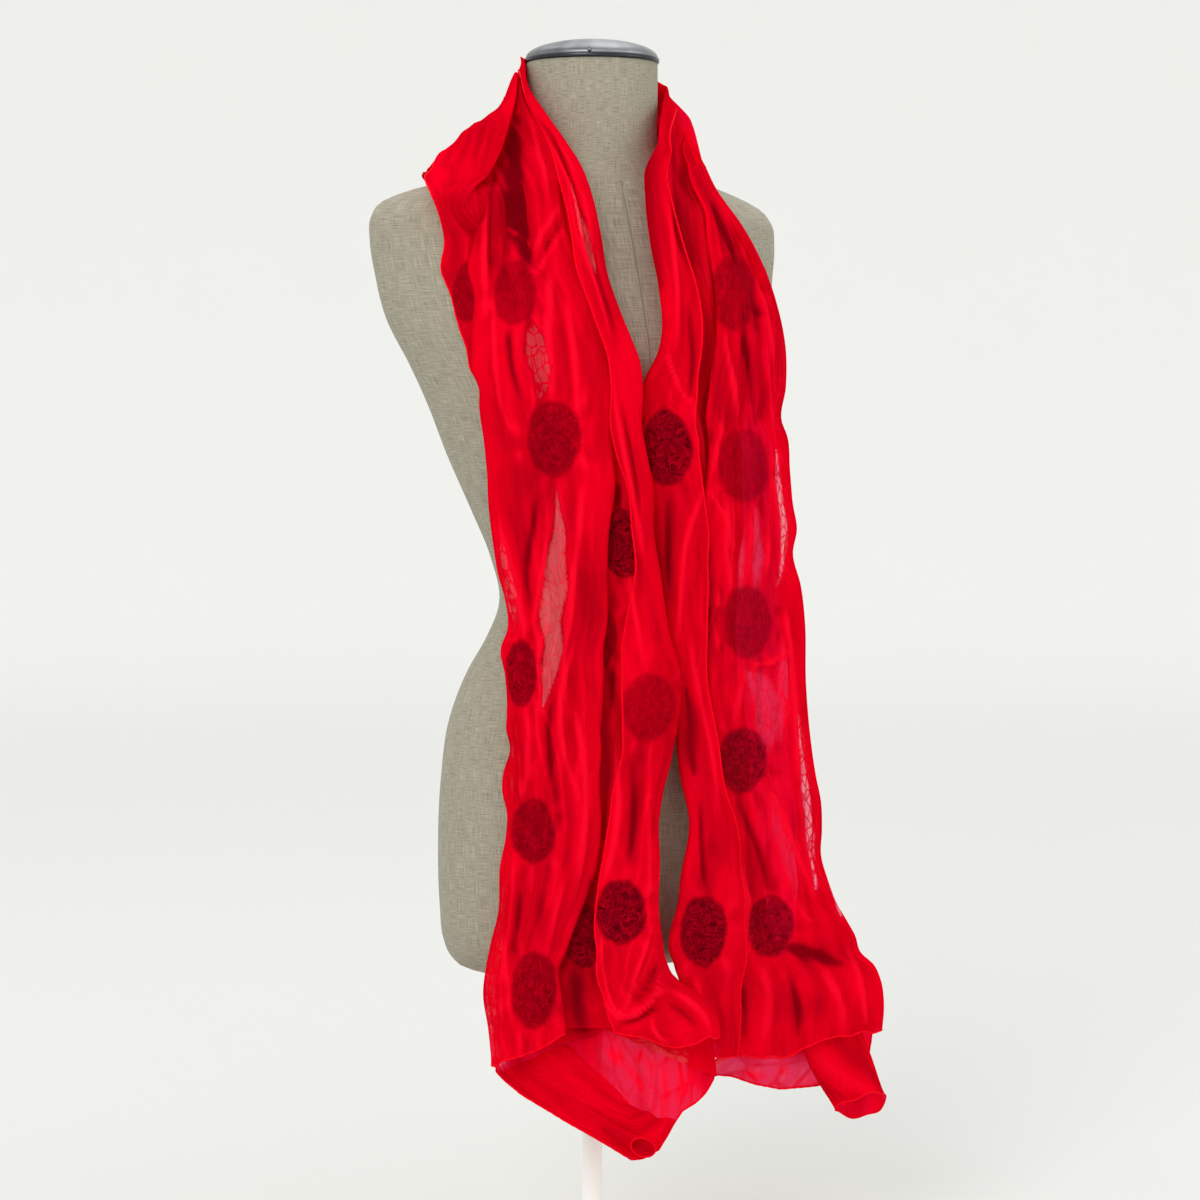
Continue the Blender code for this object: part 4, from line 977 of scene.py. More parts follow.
# Powder coated steel: a fine orange peel, satin, pale.
def paintMaterial():
    material, add = newMaterial("pale powder coated steel")
    place = add("TexCoord", output="Object")
    peel = add("TexNoise", {"Vector": place, "Scale": 1000 / stand["grain"], "Detail": 2.0})
    cloud = add("TexNoise", {"Vector": place, "Scale": 14.0, "Detail": 3.0})
    tint = add("Mix", {0: cloud, 6: colour(stand["paint"]), 7: colour(stand["dust"])}, **blend)
    bump = add("Bump", {"Height": peel, "Strength": 0.2, "Distance": 0.0003})
    face = add("BsdfPrincipled", {"Base Color": tint, "Roughness": 0.42, "Normal": bump})
    add("OutputMaterial", {"Surface": face})
    return material


# A finished piece: its material, its body, a slot name that is not used, and the nodes that it stands
# for.
def finishPiece(thing, material, slotName, *nodes):
    thing.data.materials.clear()
    thing.data.materials.append(material)
    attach(thing, "root")
    if nodes:
        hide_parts(*nodes)
    return thing


# The form's cover: its level sections as rings, sunk a little along each seam in proportion to how near it
# is.
def addForm(material):
    tops = np.array([row[0] for row in formSections], float)
    heights = np.arange(tops[0], tops[-1], -linen["ringStep"])
    heights = np.append(heights, tops[-1])
    rings = formRings(heights, linen["ringPoints"])
    turn = np.arange(linen["ringPoints"]) / linen["ringPoints"]
    seam = np.zeros(rings.shape[:2])
    for at in linen["seamTurns"]:
        away = np.abs((turn - at + 0.5) % 1 - 0.5) * linen["ringPoints"]
        seam = np.maximum(seam, np.clip(1 - away, 0, 1)[None, :] * (heights < linen["seamHeight"])[:, None])
    neck = np.clip(1 - np.abs(heights - linen["seamHeight"]) / linen["ringStep"], 0, 1)
    seam = np.maximum(seam, neck[:, None])
    slope = np.clip((riseFrom - rings[..., 2]) / (riseFrom - tops[-1]), 0, 1)
    rings[..., 2] -= slope * formRise * rings[..., 1]
    middle = rings.mean(axis=1, keepdims=True)
    away = rings - middle
    away[..., 2] = 0
    away /= np.maximum(np.linalg.norm(away, axis=-1, keepdims=True), 1e-9)
    rings = rings - away * seam[..., None] * linen["seamDepth"]
    # the underside and the neck top close towards their middles
    low, high = rings[-1], rings[0]
    ends = [low[None] + (low.mean(axis=0) - low)[None] * share for share in linen["bottom"]]
    tips = [high[None] + (high.mean(axis=0) - high)[None] * share for share in linen["neckTop"]]
    points = np.concatenate(tips + [rings] + ends)
    seam = np.pad(seam, ((len(tips), len(ends)), (0, 0)))
    around = turn * linen["girth"]
    down = np.concatenate([[0] * len(tips), -(heights - heights[0]), linen["bottomRun"]]) * mm
    uv = np.stack(np.broadcast_arrays(around[None, :], down[:, None]), axis=-1)
    thing = addSurface("form_cover", points * mm, uv, closedColumns=True, flip=True)
    addAttribute(thing, "seam", seam)
    return finishPiece(thing, material, "linen", "form_body")


# The cap: a profile turned round the axis, with a rounded rim, a groove over it and a low dome.
def addCap(material):
    low, groove = cap["low"], cap["groove"]
    t = np.linspace(0, np.pi / 2, 30)
    tall = cap["rise"] - cap["rim"] - groove
    dome = np.stack(
        [(cap["radius"] - cap["domeInset"]) * np.cos(t), low + cap["rim"] + groove + tall * np.sin(t)], axis=1
    )
    rim = np.array(cap["rimProfile"], float)
    rim[:, 1] += low
    profile = np.vstack([rim, dome])
    profile[-1, 0] = cap["middle"]
    points = turnedProfile(profile, cap["segments"])
    thing = addSurface("neck_cap_dome", points * mm, closedColumns=True)
    finishPiece(thing, material, "metal", "neck_cap")
    # the lock's round end stands on the rim at the front
    reach = np.array([0.0, 0.6, 1.0, 1.0, 0.0])[:, None] * cap["lock"]["radius"]
    out = np.array([0.2, 0.2, 0.6, 1.6, 1.8])[:, None]
    turn = angles(cap["lock"]["points"])[None, :]
    x, y, z = cap["lock"]["place"]
    knob = np.stack(np.broadcast_arrays(x + reach * np.cos(turn), y + out, z + reach * np.sin(turn)), axis=-1)
    lock = addSurface("neck_cap_lock", toWorld(knob) * mm, closedColumns=True, flip=True)
    return finishPiece(lock, material, "metal")


# The cloth's edges down the front as the picture shows them, top first, in its pixels.
edges = {
    "left": {
        "outer": (
            (434, 198), (441, 220), (445, 240), (442, 273), (449, 289), (459, 326), (467, 349), (470, 367),
            (479, 390), (479, 404), (484, 443), (487, 475), (488, 500), (494, 551), (498, 575), (504, 596),
            (507, 631), (501, 647), (505, 676), (507, 711), (506, 729), (510, 748), (503, 774), (502, 789),
            (507, 815), (506, 835), (500, 866), (498, 913), (490, 946), (486, 967), (483, 995), (488, 1033),
            (491, 1064),
        ),
        "inner": (
            (531, 89), (551, 120), (561, 134), (582, 167), (592, 194), (601, 234), (608, 275), (620, 310),
            (631, 337), (640, 361), (643, 388), (642, 427), (648, 459), (653, 484), (654, 531), (661, 576),
            (665, 606), (671, 640), (677, 656), (681, 699), (675, 740), (671, 762), (663, 795), (659, 825),
            (660, 856), (660, 921), (663, 942), (670, 978), (688, 990), (704, 1003), (715, 1020), (720, 1041),
            (716, 1074),
        ),
    },
    "right": {
        "outer": (
            (704, 170), (721, 196), (742, 225), (765, 269), (777, 304), (786, 351), (786, 387), (782, 422),
            (787, 435), (790, 469), (793, 504), (797, 529), (793, 553), (801, 586), (805, 621), (806, 682),
            (810, 733), (816, 776), (821, 801), (822, 831), (821, 854), (828, 880), (836, 901), (846, 919),
            (855, 935), (862, 954), (873, 964), (880, 978), (884, 1003), (882, 1035),
        ),
        "inner": (
            (658, 143), (645, 170), (645, 196), (651, 249), (658, 284), (657, 354), (645, 378), (640, 400),
            (645, 460), (652, 520), (658, 580), (666, 640), (673, 700), (680, 776), (689, 821), (680, 880),
            (678, 901), (669, 938), (671, 968), (680, 986), (694, 1010), (700, 1040), (702, 1062),
        ),
    },
}
edgeFade = {"outer": (150.0, 200.0), "inner": (85.0, 130.0)}  # y where each begins to count, and counts fully

# The hems of the sheets that show, from one side to the other
hemLines = {
    "left": {
        "ab": (
            (485, 1062), (491, 1066), (505, 1081), (522, 1095), (542, 1107), (583, 1131), (609, 1146),
            (632, 1160), (644, 1158), (660, 1149), (666, 1138), (675, 1123), (682, 1111), (697, 1101),
            (707, 1091), (716, 1074),
        ),
        "cd": ((485, 1066), (491, 1064), (522, 1056), (546, 1046), (562, 1035)),
        "fg": ((583, 1030), (610, 1032), (644, 1038), (675, 1048), (697, 1043), (716, 1033), (722, 1030)),
    },
    "right": {
        "ab": ((716, 1075), (732, 1076), (755, 1084), (781, 1089), (820, 1085), (850, 1070), (880, 1040)),
        "cd": (
            (716, 1057), (742, 1055), (761, 1058), (781, 1058), (795, 1054), (804, 1048), (820, 1041),
            (836, 1036), (851, 1036), (863, 1031), (882, 1035),
        ),
        "fg": ((690, 1052), (702, 1055), (722, 1058), (740, 1056)),
    },
}
hemFade = 110.0  # mm up the cloth


# Moves each row of the front stretches sideways so that its two ends fall on the edges in the picture.
def fitEdges(grid, stretches):
    for name, sides in edges.items():
        first, last = stretches[name]
        x, y, scale = toPicture(grid[first : last + 1])
        rows = np.arange(len(x))
        outwards = 1 if name == "right" else -1
        ends = {"outer": np.argmax(outwards * x, axis=1), "inner": np.argmin(outwards * x, axis=1)}
        found, moved = {}, {}
        for side, column in ends.items():
            line = np.array(sides[side], float)
            found[side] = x[rows, column]
            height = y[rows, column]
            wanted = through(line[:, 1], line[:, 0], np.clip(height, line[0, 1], line[-1, 1]))
            start, full = edgeFade[side]
            moved[side] = (wanted - found[side]) * np.clip((height - start) / (full - start), 0, 1)
        share = (x - found["outer"][:, None]) / (found["inner"] - found["outer"])[:, None]
        shift = moved["outer"][:, None] * (1 - share) + moved["inner"][:, None] * share
        grid[first : last + 1, :, 0] += shift / scale


# Moves the hems up or down to where the picture shows them, fading up the cloth.
def fitHems(grid, stretches):
    for name, sheetLines in hemLines.items():
        first, last = stretches[name]
        rows = grid[first : last + 1] if name == "left" else grid[first : last + 1][::-1]
        x = toPicture(rows[0])[0]
        known, moved = [], []
        for sheet, places in sheetLines.items():
            start, end = sheetColumns(sheet)
            line = np.array(places, float)
            columns = np.arange(start, end + 1)
            wanted = heightAt(np.interp(x[columns], line[:, 0], line[:, 1]), rows[0, columns, 1])
            known.append(columns)
            moved.append(wanted - rows[0, columns, 2])
        shift = np.interp(np.arange(rows.shape[1]), np.concatenate(known), np.concatenate(moved))
        down = runsOf(rows)[1]
        rows[..., 2] += shift[None, :] * np.clip(1 - down / hemFade, 0, 1) ** 1.5


# Small moves of all the layers together, in the picture's pixels: a place, how far it moves, and over what
# radius.
nudges = (
    (512, 70, 10, -10, 14),
    (508, 92, 5, -12, 14),
    (424, 158, 8, 10, 12),
    (430, 172, -6, 2, 18),
    (468, 130, 0, -8, 24),
    (672, 92, -2, 6, 12),
    (662, 967, 6, 0, 12),
    (669, 981, 4, 0, 8),
    (684, 120, 4, 2, 22),
)


# Applies the nudges, each fading from its place as a bell curve.
def nudge(grid):
    x, y, scale = toPicture(grid)
    for atX, atY, byX, byY, radius in nudges:
        share = np.exp(-((x - atX) ** 2 + (y - atY) ** 2) / radius**2)
        grid[..., 0] += share * byX / scale
        grid[..., 2] -= share * byY / scale


# The creases of the front sheets, grouped by stretch and sheets: how far each one's middle rises (a trough
# when below 0), half its width, and the places that it passes, as the picture shows them. Each is also
# painted: highlight along a ridge, shade along a trough.
creases = (
    ("left", ("cd",), (
        (-4.0, 9, ((514, 130), (514, 165), (516, 205), (524, 245), (531, 268))),
        (2.2, 5, ((530, 266), (538, 242), (552, 218), (564, 200))),
        (-1.8, 5, ((536, 272), (548, 246), (564, 216))),
        (1.8, 5, ((508, 240), (520, 262), (536, 272), (548, 252), (566, 226))),
        (2.0, 3, ((506, 228), (520, 236), (530, 246))),
        (2.2, 4, ((506, 268), (520, 280), (536, 284))),
        (2.0, 4, ((528, 112), (536, 140), (544, 170), (548, 196))),
    )),
    ("left", ("fg", "ef"), (
        (2.4, 3, ((524, 92), (540, 124), (560, 165), (574, 200), (584, 250), (600, 300), (612, 345))),
        (-2.4, 3, ((528, 92), (546, 124), (566, 165), (580, 205), (590, 250), (606, 300), (618, 345))),
        (2.2, 3, ((532, 96), (552, 130), (574, 172), (587, 210), (596, 252), (611, 302), (624, 345))),
    )),
    ("left", ("cd",), (
        (2.0, 5, ((486, 200), (484, 260), (486, 320))),
        (-2.0, 4, ((494, 170), (490, 230), (492, 300))),
        (2.2, 7, ((552, 262), (548, 330), (552, 400))),
        (-2.2, 6, ((506, 330), (512, 372), (522, 404))),
        (2.0, 5, ((496, 262), (494, 330), (500, 400), (512, 432))),
        (2.2, 6, ((566, 300), (574, 360), (578, 420), (584, 470))),
        (2.6, 6, ((584, 480), (578, 540), (572, 600), (566, 640))),
        (-2.4, 6, ((538, 486), (532, 530), (526, 575), (530, 610))),
        (2.8, 4, ((548, 500), (545, 560), (534, 620), (540, 650), (530, 690))),
        (2.6, 5, ((494, 500), (506, 560), (520, 610), (524, 640))),
        (2.2, 5, ((575, 640), (560, 700), (566, 760), (580, 800))),
        (-2.6, 7, ((552, 690), (548, 740), (556, 800), (562, 850))),
        (2.8, 6, ((572, 700), (584, 760), (586, 820), (578, 880))),
        (2.2, 6, ((528, 700), (528, 760), (522, 800))),
        (2.4, 6, ((566, 870), (552, 930), (544, 985), (548, 1030))),
        (-2.0, 6, ((520, 890), (516, 930), (512, 955))),
        (1.8, 5, ((502, 930), (508, 990), (512, 1040))),
    )),
    ("left", ("fg", "ef"), (
        (2.2, 5, ((612, 380), (622, 440), (634, 500), (644, 560))),
        (-2.0, 4, ((620, 400), (634, 470), (640, 520))),
    )),
    ("left", ("ef", "fg"), (
        (2.4, 5, ((626, 500), (630, 580), (640, 640), (644, 676))),
        (-2.2, 5, ((612, 600), (616, 650), (610, 720))),
        (2.2, 6, ((650, 742), (648, 800), (650, 870), (648, 930))),
        (2.4, 6, ((614, 740), (618, 800), (612, 850), (600, 893))),
        (-2.4, 7, ((632, 760), (634, 820), (628, 870))),
        (3.2, 4, ((660, 890), (652, 926), (642, 956), (633, 980), (626, 1004), (616, 1018))),
        (-3.0, 5, ((664, 940), (656, 968), (646, 990), (634, 1004))),
        (3.0, 5, ((668, 986), (654, 994), (642, 1006), (628, 1016), (612, 1020))),
        (-2.6, 4, ((618, 1026), (636, 1020), (650, 1012), (662, 1004))),
        (2.8, 5, ((654, 1014), (652, 1026), (660, 1038), (672, 1044))),
        (2.6, 6, ((672, 990), (690, 1002), (704, 1016), (712, 1034))),
        (-2.2, 5, ((668, 1004), (684, 1014), (698, 1028))),
        (2.0, 4, ((604, 1000), (612, 1012), (622, 1018))),
    )),
    ("left", ("ab",), (
        (1.8, 5, ((668, 1050), (664, 1076), (666, 1100), (664, 1124))),
        (1.6, 5, ((676, 1050), (680, 1078), (678, 1100), (670, 1116))),
        (1.4, 5, ((584, 1042), (606, 1050), (630, 1068), (644, 1092))),
        (1.4, 5, ((612, 1042), (640, 1056), (662, 1074))),
        (1.6, 5, ((600, 1044), (622, 1062), (644, 1090), (656, 1108))),
        (1.4, 5, ((640, 1044), (648, 1066), (652, 1090))),
        (1.6, 5, ((694, 1050), (688, 1078), (680, 1104))),
        (2.0, 6, ((560, 1060), (584, 1082), (616, 1108), (648, 1132))),
        (-1.8, 6, ((546, 1068), (572, 1094), (604, 1120), (632, 1138))),
    )),
    ("left", ("fg", "ef"), (
        (2.4, 2.5, ((603, 893), (601, 940), (604, 975), (612, 1004), (626, 1016), (640, 1014), (652, 1000),
            (659, 970), (661, 935))),
    )),
    ("right", ("ab",), (
        (1.4, 5, ((736, 1062), (752, 1072), (770, 1080))),
        (1.4, 5, ((770, 1060), (786, 1072), (800, 1080))),
    )),
    ("right", ("cd", "de"), (
        (-2.6, 5, ((712, 200), (730, 243), (751, 299), (760, 330))),
    )),
    ("right", ("cd",), (
        (2.2, 5, ((722, 210), (744, 262), (764, 310), (772, 360))),
        (2.4, 5, ((724, 330), (730, 380), (738, 420))),
        (-2.2, 5, ((744, 300), (750, 360), (752, 410))),
        (2.4, 4, ((764, 340), (770, 400), (776, 450))),
        (2.6, 4, ((746, 506), (748, 545), (744, 590))),
        (2.6, 4, ((768, 500), (766, 545), (764, 590))),
        (2.4, 4, ((728, 500), (724, 545), (730, 590))),
        (2.6, 5, ((738, 660), (762, 664), (790, 652))),
        (2.4, 5, ((744, 668), (736, 700), (732, 730))),
        (2.2, 5, ((782, 600), (790, 650), (796, 720), (798, 780))),
        (2.2, 5, ((770, 790), (790, 840), (806, 880))),
        (-2.2, 6, ((740, 800), (760, 850), (770, 895))),
        (2.2, 6, ((724, 800), (732, 850), (744, 900), (748, 950))),
        (-3.5, 7, ((782, 946), (806, 952), (832, 960))),
        (2.2, 8, ((760, 960), (768, 1000), (764, 1040))),
        (2.2, 8, ((820, 970), (838, 1000), (846, 1030))),
    )),
    ("right", ("fg", "ef"), (
        (2.4, 5, ((667, 150), (670, 220), (676, 290), (678, 350))),
        (-2.2, 5, ((668, 190), (680, 240), (697, 280))),
        (2.4, 6, ((700, 200), (706, 260), (712, 320))),
        (-2.4, 6, ((690, 300), (694, 360), (690, 400))),
        (2.6, 5, ((705, 485), (686, 540), (680, 600), (676, 650))),
        (2.6, 5, ((705, 485), (712, 540), (716, 600), (712, 660))),
        (-2.6, 6, ((668, 500), (668, 560), (664, 620))),
        (2.4, 4, ((705, 485), (700, 440), (690, 396))),
    )),
    ("right", ("cd",), (
        (2.4, 4, ((709, 487), (716, 450), (724, 410))),
        (2.2, 4, ((709, 490), (722, 515), (732, 550))),
        (2.0, 5, ((716, 325), (722, 290), (730, 250))),
    )),
    ("right", ("fg", "ef"), (
        (2.2, 4, ((660, 330), (672, 370), (684, 396), (700, 404))),
        (2.2, 5, ((662, 640), (670, 690), (678, 740), (684, 790))),
    )),
    ("right", ("cd",), (
        (2.0, 5, ((716, 960), (724, 1000), (730, 1040))),
        (-2.0, 6, ((740, 972), (746, 1010), (744, 1044))),
        (-2.0, 7, ((790, 972), (800, 1010), (798, 1040))),
        (2.4, 5, ((846, 944), (856, 970), (862, 1000), (866, 1026))),
    )),
    ("right", ("fg", "ef"), (
        (2.4, 6, ((690, 640), (700, 700), (712, 760), (718, 820))),
        (-2.2, 6, ((700, 800), (704, 860), (712, 910))),
        (2.4, 7, ((690, 960), (700, 1000), (706, 1045))),
    )),
)


# Places where the cloth is spread flat, so that light passes: the stretch, the sheet that shows there, how
# much it is spread (above 1 it is thinner still), then a middle line as x, y and half the width there.
windows = (
    ("left", "cd", 1.32, ((526, 314, 2), (534, 340, 10), (541, 372, 13), (541, 396, 9), (538, 406, 3))),
    ("left", "cd", 1.68, ((556, 488, 1), (559, 530, 6), (556, 575, 11), (552, 610, 14), (553, 645, 11),
        (549, 680, 9), (543, 706, 2))),
    ("left", "cd", 1.2, ((500, 536, 2), (506, 570, 6), (513, 605, 8), (514, 632, 5), (510, 642, 1))),
    ("left", "cd", 1.2, ((503, 640, 2), (520, 652, 4), (540, 660, 3), (545, 690, 4), (540, 708, 1))),
    ("left", "fg", 1.45, ((571, 182, 2), (576, 205, 4), (584, 232, 6), (592, 262, 5), (599, 277, 1))),
    ("left", "cd", 1.04, ((512, 720, 2), (512, 760, 5), (513, 800, 6), (511, 840, 5), (506, 870, 5),
        (503, 913, 6), (496, 946, 8), (492, 980, 8), (490, 1020, 9), (496, 1056, 8))),
    ("left", "cd", 0.4, ((540, 712, 3), (546, 740, 6), (556, 790, 5), (560, 830, 3))),
    ("left", "fg", 0.45, ((650, 800, 3), (652, 840, 8), (648, 880, 9), (646, 930, 10), (636, 970, 9),
        (626, 992, 4))),
    ("left", "ab", 0.74, ((630, 1062, 34), (648, 1078, 46), (664, 1096, 44), (690, 1108, 20))),
    ("right", "cd", 0.9, ((736, 508, 2), (739, 545, 5), (736, 590, 5))),
    ("right", "cd", 0.9, ((754, 508, 2), (756, 545, 6), (755, 588, 4))),
    ("right", "cd", 1.35, ((776, 450, 2), (778, 480, 4), (784, 520, 5), (784, 552, 4), (778, 585, 2))),
    ("right", "cd", 0.75, ((744, 672, 3), (762, 688, 13), (768, 716, 15), (766, 748, 6))),
    ("right", "cd", 0.7, ((786, 640, 2), (784, 670, 6), (782, 700, 5), (780, 740, 2))),
    ("right", "cd", 1.35, ((797, 700, 1), (801, 740, 4), (806, 790, 5), (812, 850, 5), (816, 890, 2))),
    ("right", "cd", 0.5, ((772, 800, 3), (784, 840, 9), (798, 880, 9), (810, 916, 4))),
    ("right", "cd", 1.35, ((829, 866, 2), (835, 892, 5), (842, 918, 3))),
    ("right", "cd", 0.7, ((784, 300, 2), (778, 340, 4), (780, 390, 4))),
    ("right", "cd", 0.7, ((722, 590, 2), (720, 620, 5), (722, 650, 3))),
    ("right", "ab", 1.0, ((720, 1070, 14), (750, 1074, 20), (790, 1076, 20), (820, 1072, 14))),
)

# Hollows in shadow: the stretch, the sheets, how dark, then a middle line as x, y and half the width there
hollows = (
    ("left", ("cd", "de", "ef"), 0.95, ((516, 118, 4), (513, 145, 9), (512, 180, 13), (514, 215, 15),
        (520, 245, 12), (530, 268, 4))),
    ("left", ("ef", "de"), 1.0, ((618, 486, 3), (620, 515, 12), (622, 550, 14), (620, 580, 5))),
    ("left", ("ef", "fg"), 0.5, ((606, 600, 3), (604, 680, 5), (606, 760, 5), (604, 840, 3))),
    ("left", ("ab", "bc", "cd", "de", "ef"), 0.9, ((592, 880, 3), (586, 920, 8), (580, 960, 12),
        (578, 1000, 14), (584, 1028, 10))),
    ("left", ("cd",), 0.45, ((497, 250, 3), (508, 276, 8), (522, 284, 8))),
    ("left", ("cd",), 0.35, ((560, 330, 8), (566, 400, 12), (562, 470, 8))),
    ("left", ("cd",), 0.4, ((520, 470, 8), (528, 520, 9), (526, 560, 4))),
    ("left", ("cd",), 0.35, ((582, 540, 6), (588, 620, 9), (590, 690, 6))),
    ("left", ("fg",), 0.35, ((640, 560, 6), (650, 600, 9), (656, 640, 7))),
    ("left", ("fg",), 0.4, ((640, 760, 8), (644, 800, 10), (640, 860, 8))),
    ("left", ("cd",), 0.35, ((540, 900, 6), (548, 950, 10), (544, 1010, 8))),
    ("right", ("ef", "fg"), 0.75, ((654, 146, 6), (648, 172, 10), (648, 205, 11), (653, 250, 9),
        (660, 285, 5))),
    ("neck", ("ef", "fg"), 0.6, ((662, 96, 4), (657, 116, 7), (652, 136, 9), (649, 156, 10))),
    ("right", ("fg",), 0.35, ((676, 480, 7), (670, 540, 10), (668, 600, 8))),
    ("right", ("fg",), 0.35, ((700, 700, 6), (706, 780, 9), (712, 850, 7))),
    ("right", ("cd",), 0.3, ((740, 340, 8), (756, 380, 12), (760, 420, 8))),
    ("right", ("cd",), 0.35, ((748, 850, 8), (762, 880, 12), (780, 905, 8))),
    ("right", ("cd",), 0.3, ((730, 980, 8), (760, 1000, 14), (800, 1010, 14), (840, 1000, 8))),
    ("right", ("fg", "ef"), 0.6, ((672, 150, 4), (678, 190, 9), (688, 230, 10), (696, 262, 4))),
    ("right", ("cd", "de"), 0.75, ((713, 204, 2), (728, 240, 7), (744, 280, 8), (760, 314, 3))),
    ("right", ("fg", "ef"), 0.85, ((686, 690, 2), (690, 715, 7), (690, 750, 8), (694, 772, 3))),
    ("right", ("cd", "de"), 0.5, ((712, 330, 2), (714, 400, 4), (708, 470, 3))),
    ("right", ("cd",), 0.95, ((782, 944, 3), (800, 952, 8), (820, 957, 8), (842, 964, 3))),
    ("right", ("cd", "de"), 0.6, ((702, 500, 2), (708, 560, 5), (706, 640, 6), (704, 700, 3))),
)

# Gathers over the whole cloth
gathers = (  # wavelength across in mm, height in mm, how far a gather runs before it bends, and its phase
    (15.0, 0.55, 260.0, 0.3),
    (9.0, 0.3, 170.0, 2.1),
    (26.0, 0.9, 340.0, 4.0),
    (5.5, 0.16, 120.0, 5.2),
)
gathering = {
    "drift": (2.2, 1.1),  # radians by which a gather bends, in a slow wave and a quicker one
    "quicker": 5.3,
    "strength": (0.6, 0.4),  # its mean and how far it varies
    "varyAcross": 61.0,  # mm for each radian
    "varyAlong": 173.0,
    "narrow": 12.0,  # mm, a sheet this wide has hardly any
    "wider": 50.0,  # mm more, and it has them in full
    # share of the gathers' relief painted as highlight on their crests and shade in their hollows
    "paintedLight": 0.25,
}
creasing = {
    "rise": 1.4,
    # strength of the painted highlight on a ridge and painted shade in a trough
    "paintedLight": 0.9,
    "sharp": 0.6,  # how wide its painted highlight on a ridge and painted shade in a trough are beside its form
}


# How near each point is to a path: the distance, and the share of the path's length passed at the nearest
# place.
def nearPath(x, y, path):
    lengths = np.linalg.norm(np.diff(path[:, :2], axis=0), axis=1)
    starts = np.concatenate([[0], np.cumsum(lengths)])
    best, share = np.full(x.shape, 1e9), np.zeros(x.shape)
    for k, (one, two) in enumerate(zip(path[:, :2], path[1:, :2])):
        step = two - one
        t = np.clip(((x - one[0]) * step[0] + (y - one[1]) * step[1]) / (step @ step), 0, 1)
        away = np.hypot(x - one[0] - t * step[0], y - one[1] - t * step[1])
        closer = away < best
        best = np.where(closer, away, best)
        share = np.where(closer, (starts[k] + t * lengths[k]) / starts[-1], share)
    return best, share


# A path made smoother: a curve through its points with six steps between each two.
def smoothPath(path):
    last = len(path) - 1
    return through(np.arange(last + 1), path, np.linspace(0, last, 6 * last + 1))


# The rows of a table whose groups share a stretch and its sheets.
def each(groups):
    return [(stretch, names, *row) for stretch, names, rows in groups for row in rows]


# A line with a half width at each place: how far each point is from it, and the half width nearest to it.
def nearLine(x, y, path):
    line = smoothPath(np.array(path, float))
    away, share = nearPath(x, y, line)
    return away, np.interp(share, np.linspace(0, 1, len(line)), line[:, 2])


spreading = {
    "stagger": 1.6,  # pixels by which each layer's window is wider or narrower than the next one's
    "clear": 1.1,  # windows above it clear the hidden layers too
    "hidden": 1.7,  # how far hidden layers are spread there by the entry, where 2 is clear
    "entry": 0.3,  # a share of the way in
    "beyond": 0.3,  # how much further they are spread after it
    "uneven": 0.12,  # how far a window's width varies, as a share
    "soft": (2.0, 0.45),  # pixels over which its edge fades, and more for each pixel of half its width
    "rim": {"out": 1.5, "width": 1.8, "rise": 0.7, "paintedLight": 0.4},  # the ridge round it and the painted highlight on it: pixels, mm, a share
}

# The silk puckers round a dot, in two sets of waves with painted highlight and shade along them, and lies
# flat under it
puckers = {
    "waves": (9, 14),
    "second": 0.7,  # the second set's height beside the first's
    "at": 1.25,  # where they are highest, in radii of the dot
    "width": 0.3,
    "rise": 0.55,
    # share of painted highlight and shade along the puckers
    "paintedLight": 0.2,
    "calm": (0.6, 0.8),  # the share of the relief and of the painted highlight and shade that the dot takes away
}
